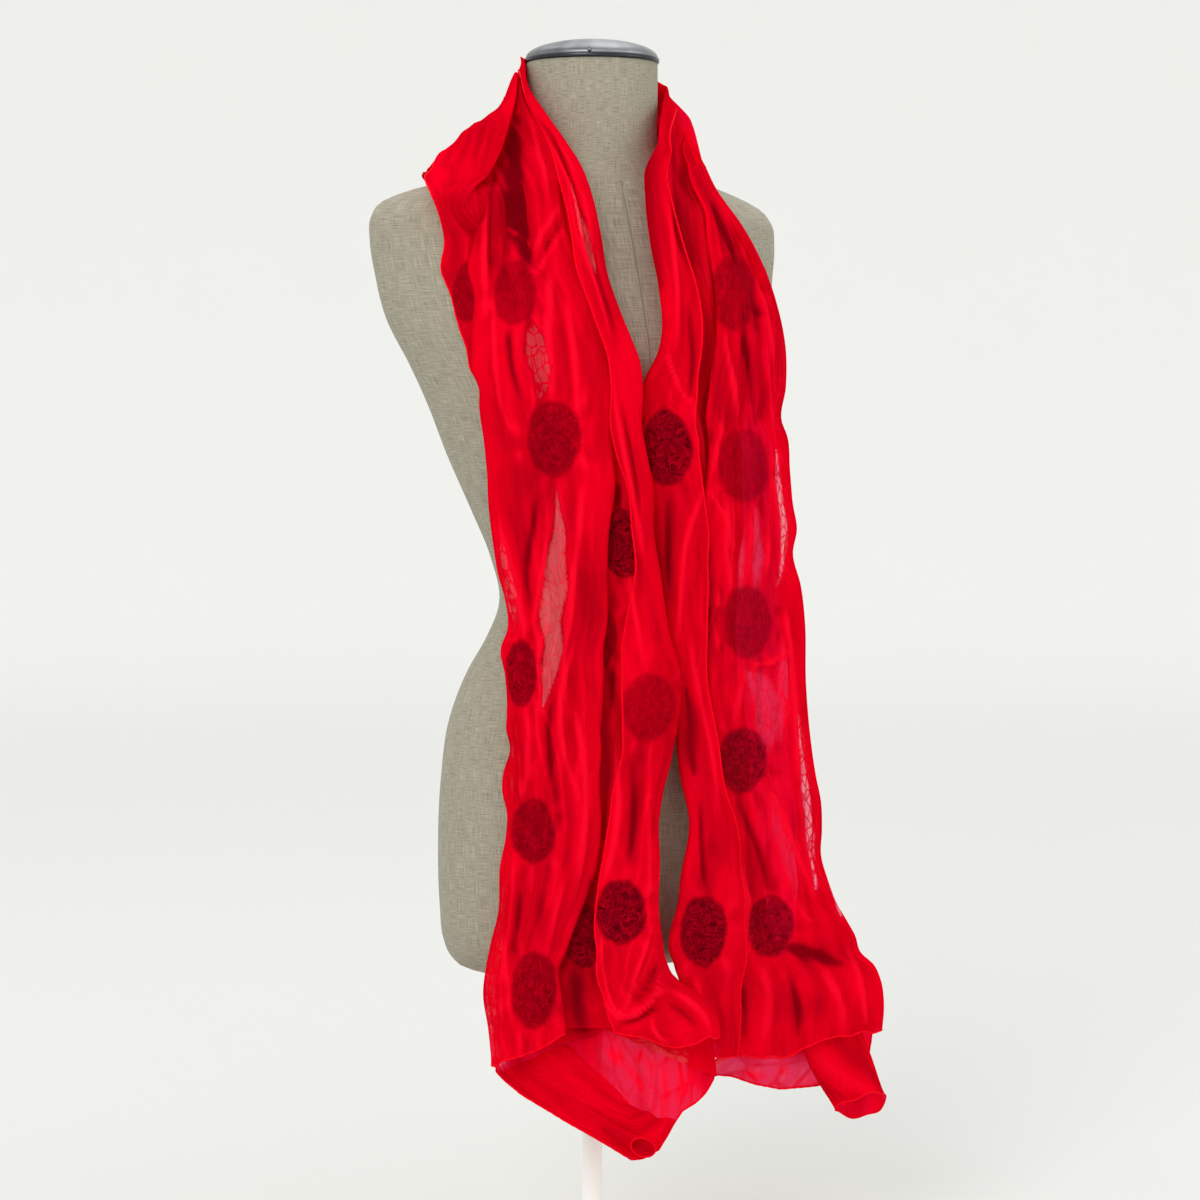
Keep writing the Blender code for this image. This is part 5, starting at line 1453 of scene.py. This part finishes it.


# The relief of the whole grid in millimetres, outwards from the form, how much painted highlight (1) or
# painted shade (-1) each point has, and how far it is spread flat, from 0 to 2 where it is clear. Gathers are
# sine waves across the cloth that drift as they run down it; creases, hollows and windows are bell curves or
# soft steps by the distance from a line; a dot's puckers are waves round it.
def reliefOf(grid, stretches, spots):
    relief = np.zeros(grid.shape[:2])
    paintedLight = np.zeros(grid.shape[:2])
    spread = np.zeros(grid.shape[:2])
    across, height, _ = toPicture(grid)
    over, down = runsOf(grid)
    width = over.mean(axis=0, keepdims=True)
    slow, quick = gathering["drift"]
    mean, more = gathering["strength"]
    vary = width / gathering["varyAcross"] + down / gathering["varyAlong"]
    for wave, tall, bend, phase in gathers:
        drift = slow * np.sin(down / bend * 2 * np.pi + phase)
        drift += quick * np.sin(down / bend * gathering["quicker"] + 2 * phase)
        strength = mean + more * np.sin(vary + phase)
        relief += tall * strength * np.sin(width / wave * 2 * np.pi + drift + phase)
    outward = np.ones(grid.shape[1])
    inside = np.zeros(grid.shape[1])
    stagger = np.zeros(grid.shape[1])
    for k, name in enumerate(sheets):
        start, end = sheetColumns(name)
        stagger[start : end + 1] = spreading["stagger"] * (2.0 - k)
        if name in ("bc", "de", "fg"):
            outward[withTurns(name)] = -1
        count = end - start + 1
        inside[start : end + 1] = np.clip(np.sin(np.pi * (np.arange(count) + 1) / (count + 1)) * 2.2, 0, 1)
    relief *= inside
    for name in sheets:
        start, end = sheetColumns(name)
        wide = (over[:, end] - over[:, start])[:, None]
        relief[:, start : end + 1] *= np.clip((wide - gathering["narrow"]) / gathering["wider"], 0.05, 1.2)
    # painted highlight on the gathers' crests and painted shade in their hollows
    paintedLight += gathering["paintedLight"] * relief
    for stretch, names, rise, halfWidth, path in each(creases):
        first, last = stretches[stretch]
        line = smoothPath(np.array(path, float))
        for name in names:
            start, end = sheetColumns(name)
            block = (slice(first, last + 1), slice(start, end + 1))
            away, share = nearPath(across[block], height[block], line)
            taper = np.sqrt(np.clip(np.sin(np.pi * np.clip(share, 0.001, 0.999)), 0, 1))
            form = np.exp(-((away / halfWidth) ** 2)) * taper
            relief[block] += creasing["rise"] * rise * form * inside[start : end + 1]
            # each crease is painted too: highlight along a ridge, shade along a trough
            sharp = np.exp(-((away / (halfWidth * creasing["sharp"])) ** 2)) * taper
            paintedLight[block] += creasing["paintedLight"] * np.sign(rise) * sharp
    for stretch, names, dark, path in hollows:
        first, last = stretches[stretch]
        block = slice(first, last + 1)
        paintedShade = np.zeros(grid.shape[1])
        for name in names:
            paintedShade[withTurns(name)] = dark
        away, half = nearLine(across[block], height[block], path)
        # painted shade in the hollows
        paintedLight[block] -= paintedShade * np.exp(-((away / half) ** 2) * 0.9)
    for stretch, front, clear, path in windows:
        first, last = stretches[stretch]
        block = slice(first, last + 1)
        away, half = nearLine(across[block], height[block], path)
        half = half * (1 + spreading["uneven"] * np.sin(height[block] / 9 + across[block] / 7))
        soft = spreading["soft"][0] + spreading["soft"][1] * half
        within = np.clip((half - away) / soft + 0.5, 0, 1)
        inner = np.clip((half - 1.5 + stagger - away) / soft + 0.5, 0, 1)
        shows = np.zeros(grid.shape[1], bool)
        shows[withTurns(front)] = True
        hidden = min(spreading["hidden"], 1.9 * clear) * inner
        if clear > spreading["clear"]:
            entry = spreading["entry"]
            entered = spreading["hidden"] * np.clip(inner / entry, 0, 1)
            hidden = entered + spreading["beyond"] * np.clip((inner - entry) / (1 - entry), 0, 1)
        spread[block] = np.maximum(spread[block], np.where(shows, clear * within, hidden))
        rim = spreading["rim"]
        edge = np.exp(-(((away - half - rim["out"]) / rim["width"]) ** 2)) * np.clip(half / 3, 0, 1) * shows
        relief[block] += rim["rise"] * edge * inside
        # painted highlight along the ridge round the window
        paintedLight[block] += rim["paintedLight"] * edge
    few, many = puckers["waves"]
    for d in spots:
        top, bottom = stretches[d["stretch"]]
        block = (slice(top, bottom + 1), withTurns(d["sheet"]))
        p, q = (across[block] - d["x"]) / d["halfWidth"], (height[block] - d["y"]) / d["halfHeight"]
        radius, turn = np.hypot(p, q), np.arctan2(q, p)
        rays = np.cos(few * turn + d["x"]) + puckers["second"] * np.cos(many * turn + d["y"])
        ring = np.exp(-(((radius - puckers["at"]) / puckers["width"]) ** 2)) * (radius > 0.6)
        within = np.exp(-(radius**6))
        relief[block] = relief[block] * (1 - puckers["calm"][0] * within) + puckers["rise"] * rays * ring
        # painted highlight and shade along the puckers
        paintedLight[block] = paintedLight[block] * (1 - puckers["calm"][1] * within) + puckers["paintedLight"] * rays * ring
        spread[block] = spread[block] * (1 - within)
    return relief * outward, np.clip(paintedLight, -1, 1), np.clip(spread, 0, 2)


# Each point's place on the flat cloth: across it, the mean width of each strip of the grid, and along it.
def clothMap(over, down, stretches):
    low, high = stretches["neck"]
    steps = np.diff(over, axis=1)
    share = np.clip((np.arange(len(over)) - low) / (high - low), 0, 1)[:, None]
    width = steps[: low + 1].mean(axis=0) * (1 - share) + steps[high:].mean(axis=0) * share
    u = np.hstack([np.zeros((len(over), 1)), np.cumsum(width, axis=1)])
    v = np.broadcast_to(down.mean(axis=1, keepdims=True), u.shape)
    return np.stack([u, v], axis=-1) * mm


# The silk: each stretch is the grid between its first and last row, with the whole scarf's normals so that no
# seam shows.
def addStretches(grid, stretches, paintedLight, spread, material):
    over, down = runsOf(grid)
    uv = clothMap(over, down, stretches)
    world = toWorld(grid) * mm
    normal = normalsOf(world)
    found = {}
    for name, (first, last) in stretches.items():
        part = slice(first, last + 1)
        thing = addSurface("silk_" + name, world[part], uv[part], flip=True)
        facing = normal[part].reshape(-1, 3)
        thing.data.normals_split_custom_set_from_vertices(facing.tolist())
        # the attribute named relief carries the painted highlight and shade
        addAttribute(thing, "relief", paintedLight[part])
        addAttribute(thing, "spread", spread[part])
        found[name] = finishPiece(thing, material, "silk", "scarf_" + name)
        width = float(over[part, -1].mean())
        length = float(down[last].mean() - down[first].mean())
        print("silk", name, "rows", last - first + 1, "width", round(width), "length", round(length), "mm")
    return found


# The rows and columns of a stretch's sheet that fall at places in the picture, by steps of Newton's method.
def placeOn(pictured, stretch, sheet, x, y):
    first, last = stretch
    start, end = sheetColumns(sheet)
    block = pictured[first : last + 1, start : end + 1]
    nearest = np.argmin((block[..., 0] - x.mean()) ** 2 + (block[..., 1] - y.mean()) ** 2)
    row = np.full(x.shape, first + nearest // block.shape[1], float)
    column = np.full(x.shape, start + nearest % block.shape[1], float)
    for _ in range(16):
        found = sample(pictured, row, column)
        byRow = sample(pictured, row + 0.5, column) - sample(pictured, row - 0.5, column)
        byColumn = sample(pictured, row, column + 0.5) - sample(pictured, row, column - 0.5)
        awayX, awayY = x - found[..., 0], y - found[..., 1]
        size = byRow[..., 0] * byColumn[..., 1] - byRow[..., 1] * byColumn[..., 0]
        size = np.where(np.abs(size) < 1e-3, 1e-3, size)
        rowStep = np.clip((awayX * byColumn[..., 1] - awayY * byColumn[..., 0]) / size, -9, 9)
        row = np.clip(row + rowStep, first, last)
        column = column + np.clip((byRow[..., 0] * awayY - byRow[..., 1] * awayX) / size, -4, 4)
        column = np.clip(column, max(start - 2, 0), min(end + 2, pictured.shape[1] - 1))
    return row, column


# A felt dot: rings and spokes round its place in the picture, an oval with an outline made uneven by a sum of
# cosines, found again on the cloth and lifted off it, less at the rim.
def addDot(name, d, seed, grid, normal, pictured, stretches, material):
    radius = np.linspace(0, 1, felt["rings"])[:, None]
    turn = angles(felt["spokes"])[None, :]
    rng = np.random.default_rng(seed)
    wobble = 1 + sum(
        felt["edge"] / k**0.7 * np.cos(k * turn + rng.uniform(0, 2 * np.pi)) * rng.uniform(0.3, 1)
        for k in (2, 3, 4, 5, 7, 9, 12, 15)
    )
    p = d["halfWidth"] * radius * np.cos(turn) * wobble
    q = d["halfHeight"] * radius * np.sin(turn) * wobble
    rowAt, columnAt = placeOn(pictured, stretches[d["stretch"]], d["sheet"], d["x"] + p, d["y"] + q)
    outward = 1.0 if d["sheet"] in ("ab", "cd", "ef") else -1.0
    place = sample(grid, rowAt, columnAt)
    facing = sample(normal, rowAt, columnAt) * outward
    facing /= np.linalg.norm(facing, axis=-1, keepdims=True)
    lift = felt["rim"] + (felt["rise"] - felt["rim"]) * np.clip(1 - radius**6, 0, 1)
    uv = np.stack([p * felt["pixel"], q * felt["pixel"] + seed * 100], axis=-1) * mm
    turnsOver = (outward > 0) == (d["stretch"] != "right")
    points = toWorld(place + facing * lift[..., None]) * mm
    spotName = name.replace("felt_dot", "felt_spot")
    thing = addSurface(spotName, points, uv, closedColumns=True, flip=turnsOver)
    addAttribute(thing, "rim", np.broadcast_to(radius, p.shape))
    addAttribute(thing, "thin", np.full(p.shape, d["thin"]))
    return finishPiece(thing, material, "felt", name)


turned = {
    "start": 2.0,  # mm up the cloth from its hem
    "shares": (0.02, 0.815),  # of the back sheet's width
    "keys": (0.0, 0.03, 0.12, 0.2, 0.3, 0.35, 0.42, 0.57, 0.71, 0.775, 0.815),
    "heights": (2.0, 6.0, 27.0, 42.0, 63.0, 70.0, 64.0, 55.0, 37.0, 20.0, 6.0),
    "away": 1.5,  # mm off the back sheet in its middle
    "least": 0.3,  # and at its edges
    "cloth": 0.19,  # m across the back sheet
    "rows": 28,
    "points": 120,
    "deep": 40,  # rows of the back sheet that it may reach
}


# The left hem's turned up band: the back sheet's own points, moved out in front of it.
def addTurnedBand(grid, normal, down, material):
    start, end = sheetColumns("ab")
    share = np.linspace(*turned["shares"], turned["points"])[None, :]
    tall = np.interp(share, turned["keys"], turned["heights"])
    rise = np.linspace(0, 1, turned["rows"])[:, None]
    column = np.broadcast_to(start + (end - start) * share, (turned["rows"], turned["points"]))
    run = turned["start"] + (tall - turned["start"]) * rise
    nearest = np.rint(column[0]).astype(int)
    known = np.arange(turned["deep"])
    row = np.stack([np.interp(up, down[known, k], known) for up, k in zip(run.T, nearest)], axis=1)
    place = sample(grid, row, column)
    facing = sample(normal, row, column)
    away = turned["away"] * np.sin(np.pi * np.clip(rise * 0.9 + 0.1, 0, 1)) ** 0.5 + turned["least"]
    points = place + facing * away[..., None]
    uv = np.stack(np.broadcast_arrays(run * mm, share * turned["cloth"]), axis=-1)
    thing = addSurface("silk_turned_band", toWorld(points) * mm, uv, flip=True)
    return finishPiece(thing, material, "silk", "hem_turn_left")


# A thin cord round a tube's mouth, closed by passing its first two points again.
def addMouth(name, ring, material):
    path = toWorld(np.vstack([ring, ring[:2]]))
    thing = addCordAlong(name, path * mm, rolledHem["mouthRadius"] * mm)
    return finishPiece(thing, material, "silk")


# The curled corner's rows: the picture's x at its left and right edge, y there, and half its depth in mm.
curlColumns = ("left", "right", "y", "halfDepth")
curlRows = (
    (800, 866, 1036, 7),
    (806, 873, 1052, 8),
    (815, 880, 1072, 9),
    (824, 885, 1088, 10),
    (832, 889, 1101, 11),
    (838, 893, 1112, 12),
)
curl = {
    "drop": 13.0,  # mm by which the mouth's front hangs lower
    "rows": 44,
    "points": 96,
    "middle": 592,  # the picture's x where across is 0
    "across": 0.88,  # mm to a pixel
    "up": (1035, 211.0, 0.865),  # the picture's y at this height, and mm to a pixel
    "reachHeight": 224.0,  # the height whose reach it follows
    "clear": 1.3,  # mm in front of it
    "cloth": (0.028, 0.09),  # m of cloth for a radian round it, and along it
    # painted highlight and shade in bands round the tube
    "relief": 0.35,
    "spread": 0.75,  # at its mouth
}


# The right stretch's corner, curled into a tube: rings that follow the cloth's reach, growing towards the
# mouth.
def addCurl(material, rolled):
    rows = table(curlColumns, curlRows)
    keys = np.arange(len(curlRows))
    at = np.linspace(0, keys[-1], curl["rows"])
    size = {name: through(keys, rows[name], at)[:, None] for name in curlColumns}
    turn = angles(curl["points"])[None, :]
    t = at[:, None] / keys[-1]
    across = curl["across"] * ((size["left"] + size["right"]) / 2 - curl["middle"])
    half = curl["across"] * (size["right"] - size["left"]) / 2
    fromY, atHeight, scale = curl["up"]
    height = atHeight - scale * (size["y"] - fromY)
    x = across + half * np.cos(turn)
    ripple = 0.9 * np.sin(3 * turn + 5 * t) + 0.6 * np.sin(7 * turn - 3 * t)
    depth = curl["clear"] + size["halfDepth"] + (size["halfDepth"] + ripple * 0.6) * np.sin(turn)
    y = reachAt(x, np.full(x.shape, curl["reachHeight"]), clearOfForm + depth)
    lip = t**3 * (2.2 * np.sin(2 * turn + 0.7) + 1.2 * np.cos(5 * turn))
    z = height + t * curl["drop"] * np.sin(turn) + lip
    uv = np.stack(np.broadcast_arrays(turn * curl["cloth"][0], t * curl["cloth"][1]), axis=-1)
    points = np.stack([x, y, z], axis=-1)
    thing = addSurface("silk_curled_corner", toWorld(points) * mm, uv, closedColumns=True)
    # painted highlight and shade in bands round the tube
    addAttribute(thing, "relief", curl["relief"] * np.sin(3 * turn + 4 * t))
    addAttribute(thing, "spread", curl["spread"] * np.clip((t - 0.86) / 0.1, 0, 1) * (np.sin(turn) > -0.2))
    finishPiece(thing, material, "silk", "corner_curl_right")
    return [thing, addMouth("hem_curled_corner", points[-1], rolled)]


# The folds over the shoulders, in the picture's pixels: each one's outer edge and how far it reaches in
crestFolds = {
    "left": {
        "line": ((527, 56), (521, 66), (515, 78), (511, 88), (507, 94), (503, 98)),
        "inwards": (14, 12),
    },
    "right": {
        "line": (
            (656, 79), (664, 89), (671, 98), (680, 107), (689, 117), (693, 126), (696, 136), (700, 152),
            (705, 172),
        ),
        "inwards": (-14, 6),
    },
}
strip = {
    "rows": 60,
    "points": 10,
    "cloth": (0.012, 0.08),  # m of cloth across it and along it
    "frontOf": -20,  # mm forward, it takes its place from cloth further forward than this
    "behind": -1.5,
    "nearest": 24,  # points of the cloth that give a place
    "evened": 3,
}


# The places behind points in the picture: how far forward is the mean of the nearest points of the cloth,
# moved a little away from or towards the camera.
def placeNear(x, y, cloth, moved):
    seenX, seenY, _ = toPicture(cloth)
    away = (seenX[None, :] - x.reshape(-1, 1)) ** 2 + (seenY[None, :] - y.reshape(-1, 1)) ** 2
    nearest = np.argsort(away, axis=1)[:, : strip["nearest"]]
    forward = cloth[:, 1][nearest].mean(axis=1).reshape(x.shape) + moved
    height = heightAt(y, forward)
    scale = toPicture(np.stack([np.zeros_like(x), forward, height], axis=-1))[2]
    return np.stack([(x - pictureSize / 2) / scale + view["right"] * 1000, forward, height], axis=-1)


# The outermost layer over each shoulder, behind the folds' ends: a strip inwards from its edge in the
# picture.
def addCrestFolds(grid, stretches, material):
    first, last = stretches["neck"]
    cloth = grid[first : last + 1 : 2, ::2].reshape(-1, 3)
    cloth = cloth[cloth[:, 1] > strip["frontOf"]]
    found = []
    for name, fold in crestFolds.items():
        line = np.array(fold["line"], float)
        edge = through(np.arange(len(line)), line, np.linspace(0, len(line) - 1, strip["rows"]))[:, None]
        t = np.linspace(0, 1, strip["points"])[None, :]
        x = edge[..., 0] + fold["inwards"][0] * t
        y = edge[..., 1] + fold["inwards"][1] * t
        points = placeNear(x, y, cloth, strip["behind"])
        points[..., 1] = smoothed(points[..., 1], strip["evened"])
        along = np.linspace(0, strip["cloth"][1], strip["rows"])[:, None]
        uv = np.stack(np.broadcast_arrays(t * strip["cloth"][0], along), axis=-1)
        thing = addSurface("silk_crest_" + name, toWorld(points) * mm, uv, flip=name == "left")
        found.append(finishPiece(thing, material, "silk"))
    return found


roll = {
    "from": (602, 1125),  # in the picture's pixels, as are the half widths and the slant
    "to": (643, 1146),
    "small": 3.0,
    "large": 9.5,
    "slant": 13.0,
    "before": 3.0,  # mm in front of the cloth
    "rows": 24,
    "points": 48,
    "clothRows": 12,  # the cloth's lowest rows, which give its place
    "cloth": (0.004, 0.04),  # m of cloth for a radian round it, and along it
    "spread": 0.35,
    "relief": -0.5,  # painted shade on its shaded half
}


# The small roll at the hem's lowest point: rings that grow from the fold to a slanting mouth.
def addRoll(grid, stretches, material, rolled):
    first = stretches["left"][0]
    start, end = sheetColumns("ab")
    cloth = grid[first : first + roll["clothRows"], start : end + 1].reshape(-1, 3)
    t = np.linspace(0, 1, roll["rows"])[:, None]
    turn = angles(roll["points"])[None, :]
    half = roll["small"] + (roll["large"] - roll["small"]) * t**0.8
    along = np.array(roll["to"], float) - np.array(roll["from"], float)
    across = np.array([-along[1], along[0]]) / np.linalg.norm(along)
    shift = -roll["slant"] * t**2 * np.sin(turn) / np.linalg.norm(along)
    x = roll["from"][0] + along[0] * (t + shift) + across[0] * half * np.cos(turn)
    y = roll["from"][1] + along[1] * (t + shift) + across[1] * half * np.cos(turn)
    points = placeNear(x, y, cloth, roll["before"])
    points[..., 1] = points[..., 1].mean(axis=1, keepdims=True) + half * 0.6 * (1 + np.sin(turn))
    uv = np.stack(np.broadcast_arrays(turn * roll["cloth"][0], t * roll["cloth"][1]), axis=-1)
    thing = addSurface("silk_rolled_tip", toWorld(points) * mm, uv, closedColumns=True)
    addAttribute(thing, "spread", np.broadcast_to(roll["spread"] * np.clip((t - 0.7) / 0.2, 0, 1), x.shape))
    # painted shade on its shaded half
    addAttribute(thing, "relief", np.broadcast_to(roll["relief"] * np.clip(-np.sin(turn), 0, 1), x.shape))
    finishPiece(thing, material, "silk")
    return [thing, addMouth("hem_rolled_tip", points[-1], rolled)]


# The rolled hem: a thin cord along the cloth's two long edges and its ends, its radius a sine wave that
# drifts.
def addHems(grid, stretches, material):
    world = toWorld(grid)
    found = {}
    back, front, inner = withTurns("ab"), withTurns("cd"), withTurns("fg")
    for name, (first, last) in stretches.items():
        part = world[first : last + 1]
        paths = [part[:, 0], part[:, -1]]
        if name != "neck":
            part = part if name == "right" else part[::-1]
            end = part[-1]
            outer = np.vstack([part[:, 0], end[1 : back.stop]])
            paths = [outer, end[front], np.vstack([end[inner.start :], part[-2::-1, -1]])]
        for k, path in enumerate(paths):
            run = runAlong(path)
            wave = np.sin(run / rolledHem["every"] * 2 * np.pi + 2 * np.sin(run / 31))
            radius = rolledHem["radius"] + rolledHem["wave"] * wave
            thing = addCordAlong(f"hem_{name}_{k + 1}", path * mm, radius * mm)
            found.setdefault(name, []).append(finishPiece(thing, material, "silk"))
    return found


# The camera looks level round the form by yaw and down a little, from as far as a studio lens stands.
def addCamera():
    camera = bpy.data.cameras.new("camera")
    camera.lens = view["lens"]
    camera.sensor_width = view["sensor"]
    camera.clip_start = 0.05
    thing = bpy.data.objects.new("camera", camera)
    bpy.context.scene.collection.objects.link(thing)
    yaw = np.radians(view["yaw"])
    back = np.array([np.sin(yaw), -np.cos(yaw)])
    right = np.array([np.cos(yaw), np.sin(yaw)])
    place = back * view["distance"] + right * view["right"]
    thing.location = (place[0], place[1], view["height"])
    thing.rotation_euler = (np.radians(90 - view["down"]), 0, yaw)
    bpy.context.scene.camera = thing


lights = {
    "key": {"place": (-2.4, -2.4, 2.4), "size": 1.6, "power": 62.0},
    "fill": {"place": (2.4, -2.2, 1.6), "size": 2.2, "power": 17.0},
    "top": {"place": (0.2, 0.8, 3.4), "size": 2.4, "power": 26.0},
    "aim": (0.0, 0.0, 0.6),
    "world": 0.95,
}


# Soft studio light: three large squares that face the scarf, and an even pale surround.
def addLights():
    aim = np.array(lights["aim"])
    for name in ("key", "fill", "top"):
        d = lights[name]
        lamp = bpy.data.lights.new(name, "AREA")
        lamp.shape = "SQUARE"
        lamp.size = d["size"]
        lamp.energy = d["power"]
        thing = bpy.data.objects.new(name, lamp)
        bpy.context.scene.collection.objects.link(thing)
        place = np.array(d["place"])
        x, y, z = aim - place
        thing.location = place
        thing.rotation_euler = (np.arctan2(np.hypot(x, y), -z), 0, np.arctan2(y, x) - np.pi / 2)
    world = bpy.data.worlds.new("studio")
    world.use_nodes = True
    surround = world.node_tree.nodes["Background"]
    surround.inputs["Color"].default_value = (1, 1, 0.99, 1)
    surround.inputs["Strength"].default_value = lights["world"]
    bpy.context.scene.world = world
    bpy.context.scene.view_settings.view_transform = "Standard"


backdrop = {
    "flat": 5.0,  # m from the middle to where it starts to bend up
    "bend": 3.0,
    "tall": 3.5,
    "segments": 96,
    "paper": "f4f5f3",
    "grain": "f3f3f0",
    # painted shade at the middle
    "middleShade": "d5d6d3",
}


# A plain pale floor that curves up into a wall all round: a level line, a quarter circle and an upright line,
# turned round the middle.
def addBackdrop():
    material, add = newMaterial("backdrop paper")
    place = add("TexCoord", output="Object")
    grain = add("TexNoise", {"Vector": place, "Scale": 3.0})
    flat = add("VectorMath", {0: place, 1: (1.0, 1.0, 0.0)}, operation="MULTIPLY")
    away = add("VectorMath", {0: flat}, output="Value", operation="LENGTH")
    # painted shade: the paper darkens towards the middle, where the lamps light it most
    wide = add("MapRange", {"Value": away, "From Min": 0.5, "From Max": 6.0})
    tint = add("Mix", {0: grain, 6: colour(backdrop["paper"]), 7: colour(backdrop["grain"])}, **blend)
    tint = add("Mix", {0: wide, 6: colour(backdrop["middleShade"]), 7: tint}, **blend)
    face = add("BsdfPrincipled", {"Base Color": tint, "Roughness": 0.95, "Specular IOR Level": 0.1})
    add("OutputMaterial", {"Surface": face})
    t = np.linspace(0, np.pi / 2, 24)
    bend, flat = backdrop["bend"], backdrop["flat"]
    level = [(0.001, 0.0), (1.5, 0.0), (3.0, 0.0)]
    curved = np.stack([flat + bend * np.sin(t), bend * (1 - np.cos(t))], axis=1)
    profile = np.vstack([level, curved, [(flat + bend, backdrop["tall"])]])
    points = turnedProfile(profile, backdrop["segments"])
    thing = addSurface("backdrop", points, closedColumns=True, flip=True)
    thing.data.materials.append(material)


addCamera()
addLights()
addBackdrop()
print("camera, lights and backdrop made")

linenCloth = linenMaterial()
silk = chiffonMaterial()
rolledSilk = hemMaterial()
wool = feltMaterial()
steel = steelMaterial()
paint = paintMaterial()
addForm(linenCloth)
addCap(steel)
for name in ("stand_pole", "stand_base"):
    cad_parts[name].data.materials.clear()
    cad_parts[name].data.materials.append(paint)
print("form, cap and stand made")

grid, stretches = scarfGrid()
fitEdges(grid, stretches)
fitHems(grid, stretches)
nudge(grid)
allDots = [dict(zip(dotColumns, row)) for row in dots]
pictured = np.stack(toPicture(grid)[:2], axis=-1)
relief, paintedLight, spread = reliefOf(grid, stretches, allDots)
grid = grid + normalsOf(grid) * relief[..., None]
normal = normalsOf(grid)
down = runsOf(grid)[1]
silkPieces = addStretches(grid, stretches, paintedLight, spread, silk)
band = addTurnedBand(grid, normal, down, silk)
corner = addCurl(silk, rolledSilk)
shoulderFolds = addCrestFolds(grid, stretches, silk)
tip = addRoll(grid, stretches, silk, rolledSilk)
hems = addHems(grid, stretches, rolledSilk)
print("silk made")
spots = {}
for i, d in enumerate(allDots):
    node = f"felt_dot_{i + 1:02d}"
    spot = addDot(node, d, i + 1, grid, normal, pictured, stretches, wool)
    spots.setdefault(d["stretch"], []).append(spot)
print("felt dots made:", len(dots))
